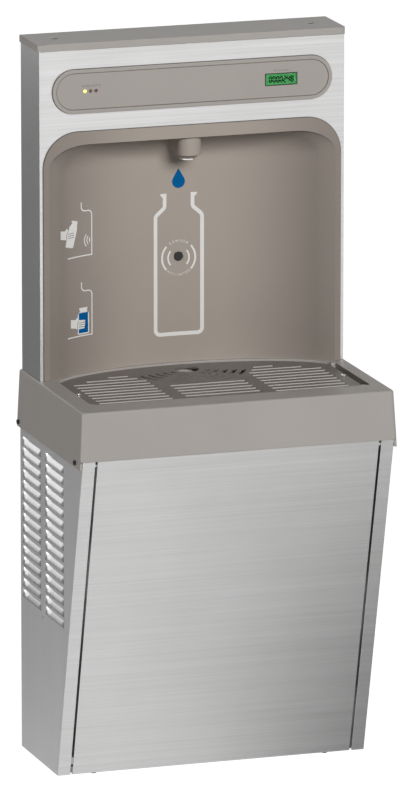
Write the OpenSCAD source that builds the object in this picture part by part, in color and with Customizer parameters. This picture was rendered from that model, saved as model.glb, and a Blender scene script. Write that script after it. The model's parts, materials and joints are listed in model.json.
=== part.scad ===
/* [Whole unit] */
// Distance of the hanger bolts below the top of the sloping front
hanger_drop = 56; // [46:1:66]
// Thickness of the folded sheet metal
sheet = 1.2; // [1:0.1:1.6]
// Wall of the moulded plastic parts
mould = 3; // [2.6:0.1:3.4]
// Gap where two fixed parts are seated on each other
seat = 0.3; // [0.2:0.05:0.4]
// Radial clearance of a turning or sliding fit
run_fit = 0.05; // [0.03:0.01:0.08]

/* [Cabinet] */
// Width of the cabinet across its side panels
cab_w = 461; // [455:1:463]
// Depth of the cabinet at the top
cab_d = 297.4; // [290:0.1:298]
// Depth of the cabinet at the foot
cab_foot_d = 173.1; // [168:0.1:180]
// Height of the sloping front
cab_h = 486; // [480:1:500]
// Width of each strip beside the front panel
strip_w = 18.5; // [17:0.5:20]
// Gap between the front panel and a strip
front_gap = 3.5; // [3:0.1:4]
// Depth of the folded edges of the front panel
front_fold = 12; // [11:0.5:13]
// Height of the cabinet top below the basin deck
cab_drop = 54; // [53:0.5:56]
// Width of the flanges folded along the side panels
flange_in = 15; // [13:0.5:16]
// Radius of the studs that the front panel turns on
stud_r = 3; // [2.5:0.1:3.5]
// Distance of a front panel screw from the side of the panel
foot_screw_in = 34.5; // [24:0.5:58]

/* [Louvres] */
// Number of louvres in a column
louvre_count = 15; // [12:1:15]
// Distance from one louvre to the next
louvre_pitch = 16.05; // [15.5:0.05:16.4]
// Height of one louvre opening
louvre_h = 12.5; // [11.5:0.1:13]
// Depth that a louvre blade is pressed inwards
louvre_depth = 6; // [5:0.1:6.5]
// Length of a louvre
louvre_len = 88; // [84:1:90]
// Distance of the rear column from the wall
louvre_rear = 10; // [8:1:14]
// Distance between the two columns
louvre_space = 20; // [18:1:21]
// Distance of the first louvre below the top of the sloping front
louvre_drop = 25; // [22:1:30]

/* [Basin] */
// Overhang of the basin at each side of the cabinet
basin_over = 0.5; // [0.3:0.1:2]
// Overhang of the basin in front of the cabinet
basin_over_y = 1.6; // [1.2:0.1:4]
// Height of the front skirt
skirt_h = 70; // [68:1:74]
// Height of the side skirts
skirt_side_h = 82; // [79:1:84]
// Outward flare of each side skirt
flare_x = 4.3; // [4:0.1:5]
// Outward flare of the front skirt
flare_y = 4.2; // [3.6:0.1:5]
// Radius of the two front corners
basin_r = 8; // [6:0.5:10]
// Depth of the bowl below the deck
bowl_depth = 43; // [40:1:46]

/* [Grille] */
// Width of the deck at each side of the grille
deck_rim = 28; // [26:0.5:31]
// Width of the deck in front of the grille
deck_front = 47.5; // [43:0.5:50]
// Thickness of the grille plate
grille_t = 3; // [2.5:0.1:3.5]
// Depth of the grille below the deck
grille_drop = 3; // [2:0.1:4]
// Distance from one row of slots to the next
slot_pitch = 17; // [16.6:0.1:17.2]
// Width of one slot
slot_w = 7; // [6:0.1:7.5]
// Distance from one round slot to the next
ring_pitch = 12.75; // [12.4:0.05:13]
// Width of a round slot
ring_w = 5.5; // [5:0.1:6]
// Radius of the hole under the spout
spout_hole_r = 17.5; // [15:0.5:18]
// Width of the finger slot beside the grille
finger_w = 7.7; // [7:0.1:8.5]

/* [Tower] */
// Distance of the tower's sides inside the cabinet's
tower_in = 3.5; // [1.5:0.5:5.5]
// Depth of the tower
tower_d = 88; // [86:0.5:94]
// Height of the tower above the deck
tower_h = 474.5; // [470:0.5:485]
// Thickness of the cap
cap_t = 10; // [9:0.5:12]
// Overhang of the cap at each side
cap_over = 2; // [1:0.5:3]
// Distance of a cap screw from the side of the tower
cap_screw_in = 36; // [27:1:47]
// Distance of the tower's wall bolts from its sides
plate_bolt_in = 36.5; // [32:0.5:42]
// Distance of the upper wall bolts below the top of the tower
plate_bolt_drop = 30.5; // [26:0.5:40]
// Radius of the wall bolt holes
wall_hole_r = 4.4; // [4:0.1:5]

/* [Alcove] */
// Distance of the curved alcove wall's ends inside the flange
alcove_in = 6; // [5:0.5:8]
// Depth of the curve of the alcove wall
alcove_b = 97; // [94:0.5:98]
// Distance of the middle of the alcove wall from the building wall
alcove_y = 23; // [22:0.5:26]
// Distance of the alcove ceiling below the top of the tower
alcove_drop = 135.5; // [133:0.5:140]
// Radius between the alcove wall and its ceiling
alcove_blend = 45; // [38:1:48]
// Distance of the outer flange from the side of the tower
flange_edge = 5; // [4:0.5:6]
// Height of the outer flange above the alcove ceiling
flange_up = 18.5; // [16:0.5:21]
// Corner radius of the outer flange
flange_r = 52; // [48:1:56]
// Width of the flange at the sides
lip_w = 8.6; // [8:0.1:9]
// Rim of deck left between the alcove wall and the grille
foot_rim = 7; // [6.5:0.1:8]

/* [Spout and sensor] */
// Distance of the spout from the wall
spout_y = 62; // [60:0.5:64]
// Radius of the spout ring
spout_r = 11; // [10:0.25:12]
// Length of the spout housing below the ceiling
housing_h = 27; // [24:0.5:30]
// Half width of the spout housing
housing_r = 17.5; // [16.5:0.5:19]
// Height of the bottle sensor above the deck
sensor_h = 154; // [145:1:160]
// Radius of the sensor window
sensor_r = 6.75; // [6:0.25:8]

/* [Control panel] */
// Distance of the control panel from the side of the tower
panel_edge = 19; // [17:0.5:22]
// Height of the control panel
panel_h = 63; // [60:1:64]
// Distance of the control panel's middle below the top of the tower
panel_drop = 59; // [54.5:0.5:62.5]
// How far the control panel stands proud of the tower
panel_proud = 3; // [2.5:0.1:4]
// Width of the display window
lcd_w = 48.5; // [44:0.5:50]
// Height of the display window
lcd_h = 18; // [16:0.5:19]
// Distance of the display's middle from the end of the panel
lcd_in = 76.3; // [68:0.1:83]
// Radius of an indicator lens
led_r = 2.5; // [2:0.1:3]
// Distance from one indicator to the next
led_pitch = 8.15; // [7.5:0.05:9]
// Distance of the middle indicator from the end of the panel
led_in = 55.8; // [50:0.1:63]

/* [Cooling unit] */
// Radius of the compressor shell
comp_r = 62; // [56:1:66]
// Height of the compressor shell
comp_h = 172; // [160:1:180]
// Distance of the compressor from the inside of the cabinet's side
comp_in = 129.3; // [119.3:1:131.3]
// Distance of the compressor from the wall
comp_y = 88; // [84:1:92]
// Radius of the cooling tank
tank_r = 42; // [38:1:44]
// Height of the cooling tank
tank_h = 180; // [170:1:190]
// Distance of the cooling tank from the inside of the cabinet's side
tank_in = 89.3; // [83.3:1:95.3]
// Distance of the cooling tank from the wall
tank_y = 76; // [74:1:80]
// Distance of the foot of the tank below the top of the sloping front
tank_drop = 236; // [228:1:241]
// Thickness of the foam round the tank
foam_t = 14; // [12:0.5:15]
// Radius of the evaporator tube
evap_r = 2.5; // [2:0.1:3]
// Thickness of the condenser
cond_t = 22; // [18:1:26]
// Width of the condenser
cond_w = 170; // [165:1:175]
// Height of the condenser
cond_h = 210; // [200:1:215]
// Distance of the condenser from the wall
cond_y = 22; // [20:1:26]
// Distance of the condenser's foot below the top of the sloping front
cond_drop = 246; // [241:1:254]
// Radius of the fan blades
fan_r = 72; // [66:1:74]
// Number of fan blades
fan_blades = 5; // [4:1:6]

/* [Water path] */
// Radius of the water tubes
tube_r = 4.8; // [4:0.1:5]
// Radius of the filter cartridge
filter_r = 36; // [32:1:38]
// Length of the filter cartridge
filter_h = 190; // [175:1:196]
// Distance of the filter from the wall
filter_y = 184; // [181:1:190]
// Outer radius of the waste pipe
waste_r = 16; // [15:0.5:17]
// Bend radius of the waste trap
trap_bend = 30; // [28:1:32]
// Distance of the stop valve from the middle of the tank
stop_in = 78; // [74:1:84]
// Height of the stop valve above the foot of the cabinet
stop_z = 120; // [110:1:130]

/* [Hidden] */

$fn = 48;
// Overrun of every cut, and the thickness of a slice that only guides a hull
over = 1;
slice = 0.01;

taupe = [0.65, 0.63, 0.60];
taupe_dark = [0.60, 0.58, 0.55];
grille_grey = [0.33, 0.31, 0.29];
steel = [0.78, 0.78, 0.78];
zinc = [0.66, 0.67, 0.68];
bright = [0.88, 0.88, 0.90];
dark = [0.10, 0.10, 0.10];
copper = [0.72, 0.42, 0.26];
brass = [0.75, 0.62, 0.33];
white = [0.92, 0.92, 0.90];
foam = [0.86, 0.80, 0.62];
board_green = [0.10, 0.34, 0.20];

// Widths and depths that follow the cabinet
tower_w = cab_w - 2 * tower_in;
basin_w = cab_w + 2 * basin_over;
basin_d = cab_d + basin_over_y;
grille_w = basin_w - 2 * deck_rim;
grille_front = basin_d - deck_front;
flange_w = tower_w - 2 * flange_edge;
alcove_a = flange_w / 2 - alcove_in;
waste_y = alcove_y + alcove_b;
panel_w = tower_w - 2 * panel_edge;
lcd_x = panel_w / 2 - lcd_in;
led_x = panel_w / 2 - led_in;
cap_screw_x = tower_w / 2 - cap_screw_in;
plate_bolt_x = tower_w - 2 * plate_bolt_in;
comp_x = cab_w / 2 - sheet - comp_in;
tank_x = cab_w / 2 - sheet - tank_in;
stop_x = tank_x - stop_in;

// Levels, measured from the foot of the cabinet
hanger_h = cab_h - hanger_drop;
louvre_top = cab_h - louvre_drop;
tank_z = cab_h - tank_drop;
cond_z = cab_h - cond_drop;
alcove_h = tower_h - alcove_drop;
flange_h = alcove_h + flange_up;
panel_z = tower_h - panel_drop;
deck_z = cab_h + skirt_h;
cab_top = deck_z - cab_drop;
tower_z = deck_z + seat;
tower_top = deck_z + tower_h;
grille_z = deck_z - grille_drop - grille_t;
bowl_z = deck_z - bowl_depth;
ceiling_z = deck_z + alcove_h;
panel_mid = deck_z + panel_z;
sensor_z = deck_z + sensor_h;

// Sloping front: angle from upright and length along the slope
slope = atan((cab_d - cab_foot_d) / cab_h);
slope_len = cab_h / cos(slope);
cab_x = cab_w / 2;
in_x = cab_x - sheet;
front_x = cab_x - strip_w - front_gap;
post_x = cab_x - strip_w;
seam = 0.8;
stud_in = 7;
stud_down = 10;
stud_len = 12;
lip_d = 18;
lip_z = seat;
pan_z = lip_z + sheet + seat;
pan_up = 12;
pan_x = in_x - seat;
foot_screw_x = front_x - foot_screw_in;
foot_screw_y = cab_foot_d - stud_down;
foot_screw_r = 2;
foot_head_r = 4;
foot_head_t = 2.6;
notch_gap = 0.5;

// Shared small sizes
screw_r = 2;
screw_hole_r = 2.3;
skirt_screw_head_r = 3.5;
skirt_screw_head_t = 2.2;
skirt_screw_up = 7;
skirt_screw_rear = 8;
skirt_screw_in = 21.4;
skirt_screw_front = cab_d - skirt_screw_in;
cap_head_r = 4.5;
cap_head_t = 2.5;
cap_well_r = 6;
cap_well = 3.5;
cap_boss_r = 9;
cap_r = 5;
tower_in_x = tower_w / 2 - sheet;
plate_t = 1.5;
plate_fold = 20;
plate_foot = 19;
plate_top_d = 78;
plate_bolt_low = 64;
plate_bolt_z = tower_h - plate_bolt_low - plate_bolt_drop;

// Alcove
alcove_mid = -(alcove_y + alcove_b);
liner_t = 2.5;
liner_flange_t = 2;
lip_corner_w = 60;
lip_corner_h = 34;
flare_d = 12;
arc_steps = 40;
blend_steps = 6;
shell_gap = 0.6;
flange_lap = 5;
corner_steps = 10;

// Grille
grille_a = alcove_a - foot_rim;
grille_b = alcove_b - foot_rim;
grille_r = 14;
grille_gap = 0.8;
ledge = 8;
slot_x0 = 76;
slot_edge = 17;
slot_x1 = grille_w / 2 - slot_edge;
slot_mid_x = 56;
first_row = 81;
row_edge = 14;
ring_count = 5;
ring_first = 30;
mid_gap = 1.75;
mid_row = spout_y + ring_first + ring_count * ring_pitch + mid_gap;
side_rows = floor((grille_front - first_row - row_edge) / slot_pitch) + 1;
mid_rows = floor((grille_front - mid_row - row_edge) / slot_pitch) + 1;
ring_side_deg = 27;
ring_front_deg = 66;
ring_edge_deg = 15;
grille_screw_in = 5;
grille_screw_x = grille_w / 2 - grille_screw_in;
grille_screw_up = 77;
grille_screw_y = grille_front - grille_screw_up;
grille_screw_r = 4;
grille_screw_t = 1.6;
finger_y0 = 102;
finger_depth = 13;
finger_in = 23;
bowl_in = 40;
bowl_r = 66;
bowl_slope = 9;
sump_r = 27;
rib_t = 4;
service_share = 0.6;
service_x = alcove_a * service_share;
service_w = 50;
service_y0 = 6;
service_y1 = 26;
back_lip = 11;
service_mid = (service_y0 + service_y1) / 2;
skirt_edge = 2;

// Control panel
panel_rim = 5;
panel_recess = 1;
panel_lap = 6;
panel_rear = 4;
board_gap = panel_rear;
board_t = 1.6;
board_in = 38;
board_w = panel_w - 2 * board_in;
board_h = 40;
board_y = -(tower_d - board_gap);
lcd_glass_t = 1.6;
lcd_body_w = 56;
lcd_body_h = 26;
fit_gap = 0.2;
standoff_r = 3;
standoff_x = 90;
standoff_z = 15;
chip_w = 14;
chip_t = 2;

// Spout
spout_drop = 8.5;
spout_shoulder = 18;
spout_thread_r = 8.6;
spout_bore_r = 6.5;
spout_top = 13;
elbow_r = 12;
elbow_arm_r = 7;
elbow_len = 34;
ring_wall = 1;
elbow_z = ceiling_z + liner_t + spout_top;
straightener_h = 6;
straightener_hole_r = 0.9;
straightener_ring_r = 4;

// Sensor
sensor_proud = 1;
sensor_t = 4;
sensor_body_w = 36;
sensor_body_h = 28;

// Rails
hang_t = 2;
hang_in = 30.5;
hang_w = cab_w - 2 * hang_in;
hang_low = 25;
hang_up = 22;
hang_step = 8;
hang_lip = 12;
hang_bolt_x = 304.8;
hang_bolt_z = 25.4;
rail_h = 40;
front_rail_in = 9.5;
front_rail_y = cab_d - front_rail_in;
front_rail_d = 18;
front_rail_h = 9;

// Compressor
comp_foot_h = 14;
comp_foot_r = 11;
comp_foot_bore = 4;
comp_foot_x = 52;
comp_foot_y = 40;
comp_plate_t = 3;
comp_plate_w = 132;
comp_plate_d = 108;
comp_z = pan_z + sheet + comp_foot_h + comp_plate_t;
comp_seam = 4;
// Shares of the radius and of the height along the compressor shell
comp_shares = [[0, 0], [0.7, 0], [0.93, 0.06], [1, 0.16], [1, 0.8], [0.93, 0.91], [0.7, 0.98], [0, 1]];
comp_seam_share = 0.46;
comp_pipe_share = 0.9;
comp_box_shares = [0.25, 0.8];
comp_seam_h = 9;
comp_pipe_r = 4;
comp_pipe_h = 24;
comp_pipe_x = 24;
comp_box_w = 34;
comp_box_h = 44;
comp_box_d = 12;

// Fan and condenser
cond_in = 6;
cond_x = in_x - cond_in;
fin_t = 1;
fin_count = 15;
cond_rows = 5;
cond_step = cond_h / cond_rows / 2;
shroud_t = 1.5;
shroud_x = cond_x - cond_t - seat;
fan_gap = 4;
fan_y = cond_y + cond_w / 2;
fan_z = cond_z + cond_h / 2;
fan_hub_r = 16;
fan_hub_len = 16;
fan_shaft_r = 3;
fan_pitch = 32;
motor_r = 27;
motor_gap = 8;
motor_len = 34;
arm_out = 5;
arm_r = fan_r + fan_gap + arm_out;
arm_w = 6;
arm_t = 2;

// Tank
evap_turns = 4.5;
evap_low = 30;
evap_high = 150;
evap_steps = 24;
evap_ring = (tank_r + evap_r + seat) / cos(180 / evap_steps);
foam_in = evap_ring + evap_r + seat;
foam_r = foam_in + foam_t;
port_r = 6;
port_h = 22;
port_x = 18;
tail_len = 72;

// Thermostat
thermo_w = 44;
thermo_h = 50;
thermo_d = 26;
thermo_down = 100;
thermo_z = tank_z - thermo_down;
knob_r = 12.5;
knob_h = 12;
knob_shaft_r = 3;
knob_shaft_len = 16;

// Stop valve
stop_r = 11;
stop_len = 46;
stop_port_r = 7;
stop_port_y = 30;
stop_port_h = 22;
stop_bore = 4.8;
stop_bore_len = 14;
stem_r = 3.5;
stem_len = 12;
lever_len = 34;
lever_w = 10;
lever_t = 4;
lever_hub_r = 9;

// Filter
filter_down = 8;
filter_top = cab_h - filter_down;
head_w = 70;
head_h = 20;
head_neck_r = 20;
head_neck_h = 12;
head_bracket_t = 2;
filter_neck_h = 14;

// Waste
waste_t = 2;
waste_flange_r = 25;
waste_body_r = 19;
waste_hole_gap = 0.3;
tail_down = 86;
tail_z = cab_h - tail_down;
socket_h = 36;
socket_t = 2.5;
socket_r = waste_r + socket_t;
trap_down = 164;
trap_z = cab_h - trap_down;
arm_bend = 26;
nut_r = 24;
nut_h = 14;

// Solenoid valve
sol_x = 66;
sol_y = 42;
sol_up = 39;
sol_z = ceiling_z + sol_up;
sol_r = 11;
sol_len = 56;
sleeve_r = 7;
plunger_r = 4.5;
plunger_len = 15;
plunger_low = 6;
sleeve_h = 34;
coil_w = 34;
coil_h = 24;
coil_up = 14;
spring_r = 3.2;
spring_wire = 0.5;
spring_turns = 5;
spring_steps = 12;
sleeve_cap = 3;

// Electrical box and wiring
box_w = 84;
box_h = 90;
box_d = 58;
box_z = 56;
box_y = 8;
gland_r = 9;
gland_bore = 4;
gland_len = 20;
gland_flange_r = 12;
gland_flange_t = 3;
gland_x = pan_x - box_w / 2;
cord_notch_r = 14;
wire_r = 3;
wire_in = 3.6;
wire_x = service_x - wire_in;
wire_y = 18;
wire_box_in = 49;
wire_box_x = pan_x - wire_box_in;
line_r = 3.2;
drier_r = 10;
drier_h = 84;
drier_in = 110;
drier_x = tank_x - drier_in;
drier_y = 150;
drier_z = 84;
line_bend = 8;
line_out = 20;
line_up = 14;
riser_in = 43.3;
line_riser_x = riser_in - in_x;
tube_bend = 10;
wire_z = (box_z + box_h + tank_z - foam_t) / 2;
louvre_rise_share = 0.64;
louvre_columns = [-louvre_rear, -louvre_rear - louvre_len - louvre_space];
box_shares = [0.25, 0.5, 0.75];
wing_shares = [0.25, 0.5];

// Frame: heights are drawn from the foot of the cabinet and moved to the hanger bolts
module on_wall() {
    translate([0, 0, -hanger_h]) children();
}

// Block between two corners
module block(low, high) {
    translate(low) cube(high - low);
}

// A shape drawn in X and Z, extruded from y towards the front
module facing(y, t) {
    translate([0, y, 0]) rotate([90, 0, 0]) linear_extrude(t) children();
}

// A shape drawn in Y and Z, extruded from x to the right
module sideways(x, t) {
    translate([x, 0, 0]) rotate([90, 0, 90]) linear_extrude(t) children();
}

// Rod along Y, from y towards the front
module rod_y(x, y, z, r, len) {
    translate([x, y, z]) rotate([90, 0, 0]) cylinder(r = r, h = len);
}

// Rod along X, to the right
module rod_x(x, y, z, r, len) {
    translate([x, y, z]) rotate([0, 90, 0]) cylinder(r = r, h = len);
}

module both_sides() {
    children();
    mirror([1, 0, 0]) children();
}

// Frame of the sloping front: X across, Y into the cabinet, Z up the slope
module on_slope() {
    translate([0, -cab_foot_d, 0]) rotate([slope, 0, 0]) children();
}

// Long round-ended plate
module pill(w, h) {
    square([w - h, h], center = true);
    both_sides() translate([(w - h) / 2, 0]) circle(d = h, $fn = 96);
}

// Points of a quarter turn of an ellipse
function quarter(cx, cy, a, b, from, n = corner_steps) =
    [for (i = [0 : n]) [cx + a * cos(from + 90 * i / n), cy + b * sin(from + 90 * i / n)]];

// Plan of the deck: straight at the wall, round at the two front corners
function deck_plan(w, d, r, rear = 0) = concat([[w / 2, rear], [-w / 2, rear]],
    quarter(r - w / 2, r - d, r, r, 180), quarter(w / 2 - r, r - d, r, r, 270));

// Plan of the alcove: the wall is half an ellipse that is open at the front
function alcove_plan(grow) = [for (i = [0 : arc_steps]) let(t = 180 * i / arc_steps)
    [(alcove_a + grow) * cos(t), alcove_mid + (alcove_b + grow) * sin(t)]];

// Plan of the grille: an arc behind, straight sides, round front corners
function grille_plan(grow, round = grille_r) = let(a = grille_a + grow, b = grille_b + grow,
        w = grille_w / 2 + grow, front = grille_front + grow, edge = acos(w / a),
            r = max(round + grow, round / 3))
    concat([for (i = [0 : arc_steps]) let(t = edge + (180 - 2 * edge) * i / arc_steps)
        [a * cos(t), alcove_mid + b * sin(t)]],
        quarter(r - w, r - front, r, r, 180), quarter(w - r, r - front, r, r, 270));

// Front outline of an arch that stands on the deck, with elliptical top corners
function arch(w, top, a, b, foot) = concat([[w / 2, foot]], quarter(w / 2 - a, top - b, a, b, 0),
    quarter(a - w / 2, top - b, a, b, 90), [[-w / 2, foot]]);

// Tube along a route: its corners are rounded and rings follow it
function unit(v) = v / norm(v);
function corner(a, p, b, r, n) = let(u = unit(a - p), v = unit(b - p), half = acos(u * v) / 2,
        c = p + unit(u + v) * r / sin(half), e1 = unit(p + u * r / tan(half) - c),
        e2 = unit(p + v * r / tan(half) - c), turn = 180 - 2 * half)
    [for (k = [0 : n]) c + r * (sin(turn - turn * k / n) * e1 + sin(turn * k / n) * e2) / sin(turn)];
function rounded(pts, r, n = 4) = concat([pts[0]],
    [for (i = [1 : len(pts) - 2]) each corner(pts[i - 1], pts[i], pts[i + 1], r, n)], [pts[len(pts) - 1]]);
function heading(path, i) = unit(path[min(i + 1, len(path) - 1)] - path[max(i - 1, 0)]);
function carry(n, t) = unit(n - (n * t) * t);
function normals(path, i, n) = i == len(path) ? [] :
    let(m = carry(n, heading(path, i))) concat([m], normals(path, i + 1, m));
module tube(path, r, sides = 8) {
    first = heading(path, 0);
    ups = normals(path, 0, abs(first[2]) > 0.9 ? [1, 0, 0] : [0, 0, 1]);
    points = [for (i = [0 : len(path) - 1]) let(t = heading(path, i), u = ups[i], v = cross(t, u))
        for (k = [0 : sides - 1]) path[i] + r * (cos(360 * k / sides) * u + sin(360 * k / sides) * v)];
    last = (len(path) - 1) * sides;
    faces = concat([[for (k = [0 : sides - 1]) k]], [[for (k = [0 : sides - 1]) last + sides - 1 - k]],
        [for (i = [0 : len(path) - 2]) for (k = [0 : sides - 1]) let(j = (k + 1) % sides, o = i * sides)
            each [[o + k, o + sides + k, o + j], [o + j, o + sides + k, o + sides + j]]]);
    polyhedron(points, faces);
}

// Tower

module top_cap() {
    z = tower_top + seat;
    w = tower_w + 2 * cap_over;
    color(taupe) on_wall() difference() {
        translate([0, 0, z]) linear_extrude(cap_t) polygon(deck_plan(w, tower_d + cap_over / 2, cap_r));
        difference() {
            block([-w / 2 + mould + cap_over, -tower_d + mould, z - over],
                [w / 2 - mould - cap_over, -mould, z + cap_t - mould - cap_over]);
            both_sides() translate([cap_screw_x, -tower_d / 2, z - over])
                cylinder(r = cap_boss_r, h = cap_t + over);
        }
        both_sides() translate([cap_screw_x, -tower_d / 2, z]) {
            translate([0, 0, cap_t - cap_well]) cylinder(r = cap_well_r, h = cap_well + over);
            translate([0, 0, -over]) cylinder(r = screw_hole_r, h = cap_t);
        }
    }
}

module cap_screws() {
    z = tower_top + seat + cap_t - cap_well;
    color(dark) on_wall() both_sides() translate([cap_screw_x, -tower_d / 2, z]) difference() {
        union() {
            translate([0, 0, seat]) cylinder(r = cap_head_r, h = cap_head_t);
            translate([0, 0, -cap_t]) cylinder(r = screw_r, h = cap_t + seat + over);
        }
        translate([0, 0, seat + cap_head_t / 2]) cylinder(r = screw_r, h = cap_head_t, $fn = 6);
    }
}

module tower_shell() {
    x = tower_w / 2;
    color(steel) on_wall() difference() {
        block([-x, -tower_d, tower_z], [x, 0, tower_top]);
        block([-x + sheet, -tower_d + sheet, tower_z - over], [x - sheet, over, tower_top + over]);
        facing(over - tower_d + sheet, sheet + 2 * over)
            polygon(arch(flange_w - 2 * flange_lap, deck_z + flange_h - flange_lap, flange_r, flange_r,
                tower_z - over));
        facing(over - tower_d + sheet, sheet + 2 * over)
            translate([0, panel_mid]) pill(panel_w - 2 * panel_lap, panel_h - 2 * panel_lap);
    }
}

module tower_wall_plate() {
    x = tower_in_x - seat;
    z = deck_z + plate_foot;
    top = tower_top - seat;
    color(zinc) on_wall() difference() {
        union() {
            block([-x, -plate_t, z], [x, 0, top]);
            both_sides() block([x - plate_t, -plate_fold, z], [x, 0, top]);
            block([-x, -plate_top_d, top - plate_t], [x, 0, top]);
        }
        for (dz = [0, plate_bolt_z]) both_sides()
            rod_y(plate_bolt_x / 2, over, deck_z + plate_bolt_low + dz, wall_hole_r, plate_t + 2 * over);
        both_sides() translate([cap_screw_x, -tower_d / 2, top - plate_t - over])
            cylinder(r = screw_hole_r, h = plate_t + 2 * over);
    }
}

module control_panel() {
    color(taupe_dark) on_wall() difference() {
        union() {
            facing(-tower_d - seat, panel_proud) translate([0, panel_mid]) pill(panel_w, panel_h);
            facing(-tower_d + panel_rear, panel_rear + seat + over) translate([0, panel_mid])
                pill(panel_w - 2 * (panel_lap + shell_gap), panel_h - 2 * (panel_lap + shell_gap));
        }
        facing(-tower_d - seat - panel_proud + panel_recess, panel_recess + over) translate([0, panel_mid])
            pill(panel_w - 2 * panel_rim, panel_h - 2 * panel_rim);
        facing(-tower_d + panel_rear + over, panel_rear + seat + over) translate([0, panel_mid])
            pill(panel_w - 2 * (panel_lap + shell_gap + mould),
                panel_h - 2 * (panel_lap + shell_gap + mould));
        block([lcd_x - lcd_w / 2, -tower_d - panel_proud - over, panel_mid - lcd_h / 2],
            [lcd_x + lcd_w / 2, over - tower_d, panel_mid + lcd_h / 2]);
        for (i = [-1 : 1])
            rod_y(i * led_pitch - led_x, over - tower_d, panel_mid, led_r + run_fit, panel_proud + 2 * over);
    }
    color(taupe_dark) on_wall() for (z = [-standoff_z, standoff_z]) both_sides()
        rod_y(standoff_x, board_y - fit_gap, panel_mid + z, standoff_r, board_gap + seat);
}

module lcd_window() {
    y = -tower_d - seat - panel_proud + panel_recess;
    color([0.2, 0.3, 0.25]) on_wall() block([lcd_x - lcd_w / 2 + fit_gap, y, panel_mid - lcd_h / 2 + fit_gap],
        [lcd_x + lcd_w / 2 - fit_gap, y + lcd_glass_t, panel_mid + lcd_h / 2 - fit_gap]);
}

module lcd_module() {
    y = -tower_d - seat - panel_proud + panel_recess + lcd_glass_t + fit_gap;
    color([0.18, 0.60, 0.32]) on_wall() {
        block([lcd_x - lcd_body_w / 2, -tower_d + seat, panel_mid - lcd_body_h / 2],
            [lcd_x + lcd_body_w / 2, board_y - seat, panel_mid + lcd_body_h / 2]);
        block([lcd_x - lcd_w / 2 + fit_gap, y, panel_mid - lcd_h / 2 + fit_gap],
            [lcd_x + lcd_w / 2 - fit_gap, -tower_d + 2 * seat, panel_mid + lcd_h / 2 - fit_gap]);
    }
}

module led_lens(place) {
    tip = tower_d + seat + panel_proud - panel_recess;
    on_wall() {
        rod_y(place * led_pitch - led_x, board_y - seat, panel_mid, led_r, tip + board_y - seat);
        translate([place * led_pitch - led_x, -tip, panel_mid]) rotate([90, 0, 0])
            cylinder(r1 = led_r, r2 = led_r / 2, h = led_r / 4);
    }
}

module led_yellow() {
    color([0.95, 0.90, 0.25]) led_lens(-1);
}

module led_amber() {
    color([0.30, 0.18, 0.08]) led_lens(0);
}

module led_red() {
    color([0.28, 0.06, 0.06]) led_lens(1);
}

module control_board() {
    color(board_green) on_wall() {
        block([-board_w / 2, board_y, panel_mid - board_h / 2],
            [board_w / 2, board_y + board_t, panel_mid + board_h / 2]);
        for (i = [-2 : 2]) block([i * 2 * chip_w - chip_w / 2, board_y + board_t - slice,
            panel_mid - chip_w / 2],
            [i * 2 * chip_w + chip_w / 2, board_y + board_t + chip_t, panel_mid + chip_w / 2]);
    }
}

// Alcove

module alcove_space(grow, foot) {
    hull() {
        translate([0, 0, foot]) linear_extrude(ceiling_z - alcove_blend - foot) polygon(alcove_plan(grow));
        for (i = [1 : blend_steps]) let(t = 90 * i / blend_steps)
            translate([0, 0, ceiling_z - alcove_blend + (alcove_blend + grow) * sin(t)])
                linear_extrude(slice) polygon(alcove_plan((alcove_blend + grow) * cos(t) - alcove_blend));
    }
}

// The mouth of the alcove widens towards the front
module alcove_flare(grow, foot, extra) {
    back = alcove_a * sqrt(1 - pow((alcove_mid + tower_d + liner_flange_t - flare_d) / alcove_b, 2));
    w = flange_w - 2 * lip_w + 2 * grow;
    hull() {
        facing(-tower_d - liner_flange_t, slice + extra)
            polygon(arch(w, ceiling_z + grow, lip_corner_w, lip_corner_h, foot));
        facing(-tower_d - liner_flange_t + flare_d + grow, slice)
            polygon(arch(2 * back + 2 * grow, ceiling_z + grow, lip_corner_w, lip_corner_h, foot));
    }
}

module alcove_liner() {
    foot = tower_z;
    color(taupe_dark) on_wall() difference() {
        union() {
            facing(-tower_d - seat, liner_flange_t)
                polygon(arch(flange_w, deck_z + flange_h, flange_r, flange_r, foot));
            intersection() {
                alcove_space(liner_t, foot);
                block([-tower_w, -tower_d - seat, 0], [tower_w, 0, tower_top]);
            }
            intersection() {
                alcove_flare(liner_t, foot, 0);
                block([-tower_w, -tower_d - seat - over, 0], [tower_w, 0, tower_top]);
            }
        }
        alcove_space(0, foot - over);
        alcove_flare(0, foot - over, over);
        rod_y(0, 0, sensor_z, sensor_r + fit_gap, tower_d / 2);
        translate([0, -spout_y, ceiling_z - alcove_blend])
            cylinder(r = spout_thread_r + fit_gap, h = 2 * alcove_blend);
    }
}

module spout_housing() {
    low = ceiling_z - housing_h;
    color(taupe_dark) on_wall() difference() {
        intersection() {
            union() {
                translate([0, -tower_d + housing_r, low]) cylinder(r = housing_r, h = alcove_blend);
                block([-housing_r, -tower_d + housing_r, low], [housing_r, 0, low + alcove_blend]);
            }
            alcove_space(-seat, low - over);
        }
        translate([0, -spout_y, low - over]) cylinder(r = spout_r + run_fit, h = 2 * alcove_blend);
    }
}

module spout_ring() {
    low = ceiling_z - housing_h - spout_drop;
    top = elbow_z;
    color(bright) on_wall() translate([0, -spout_y, 0]) difference() {
        union() {
            translate([0, 0, low]) cylinder(r = spout_r, h = spout_shoulder);
            translate([0, 0, low]) cylinder(r = spout_thread_r, h = top - low);
        }
        translate([0, 0, low - over]) cylinder(r = spout_r - ring_wall, h = straightener_h + over);
        translate([0, 0, low]) cylinder(r = spout_bore_r, h = top);
    }
}

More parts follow.
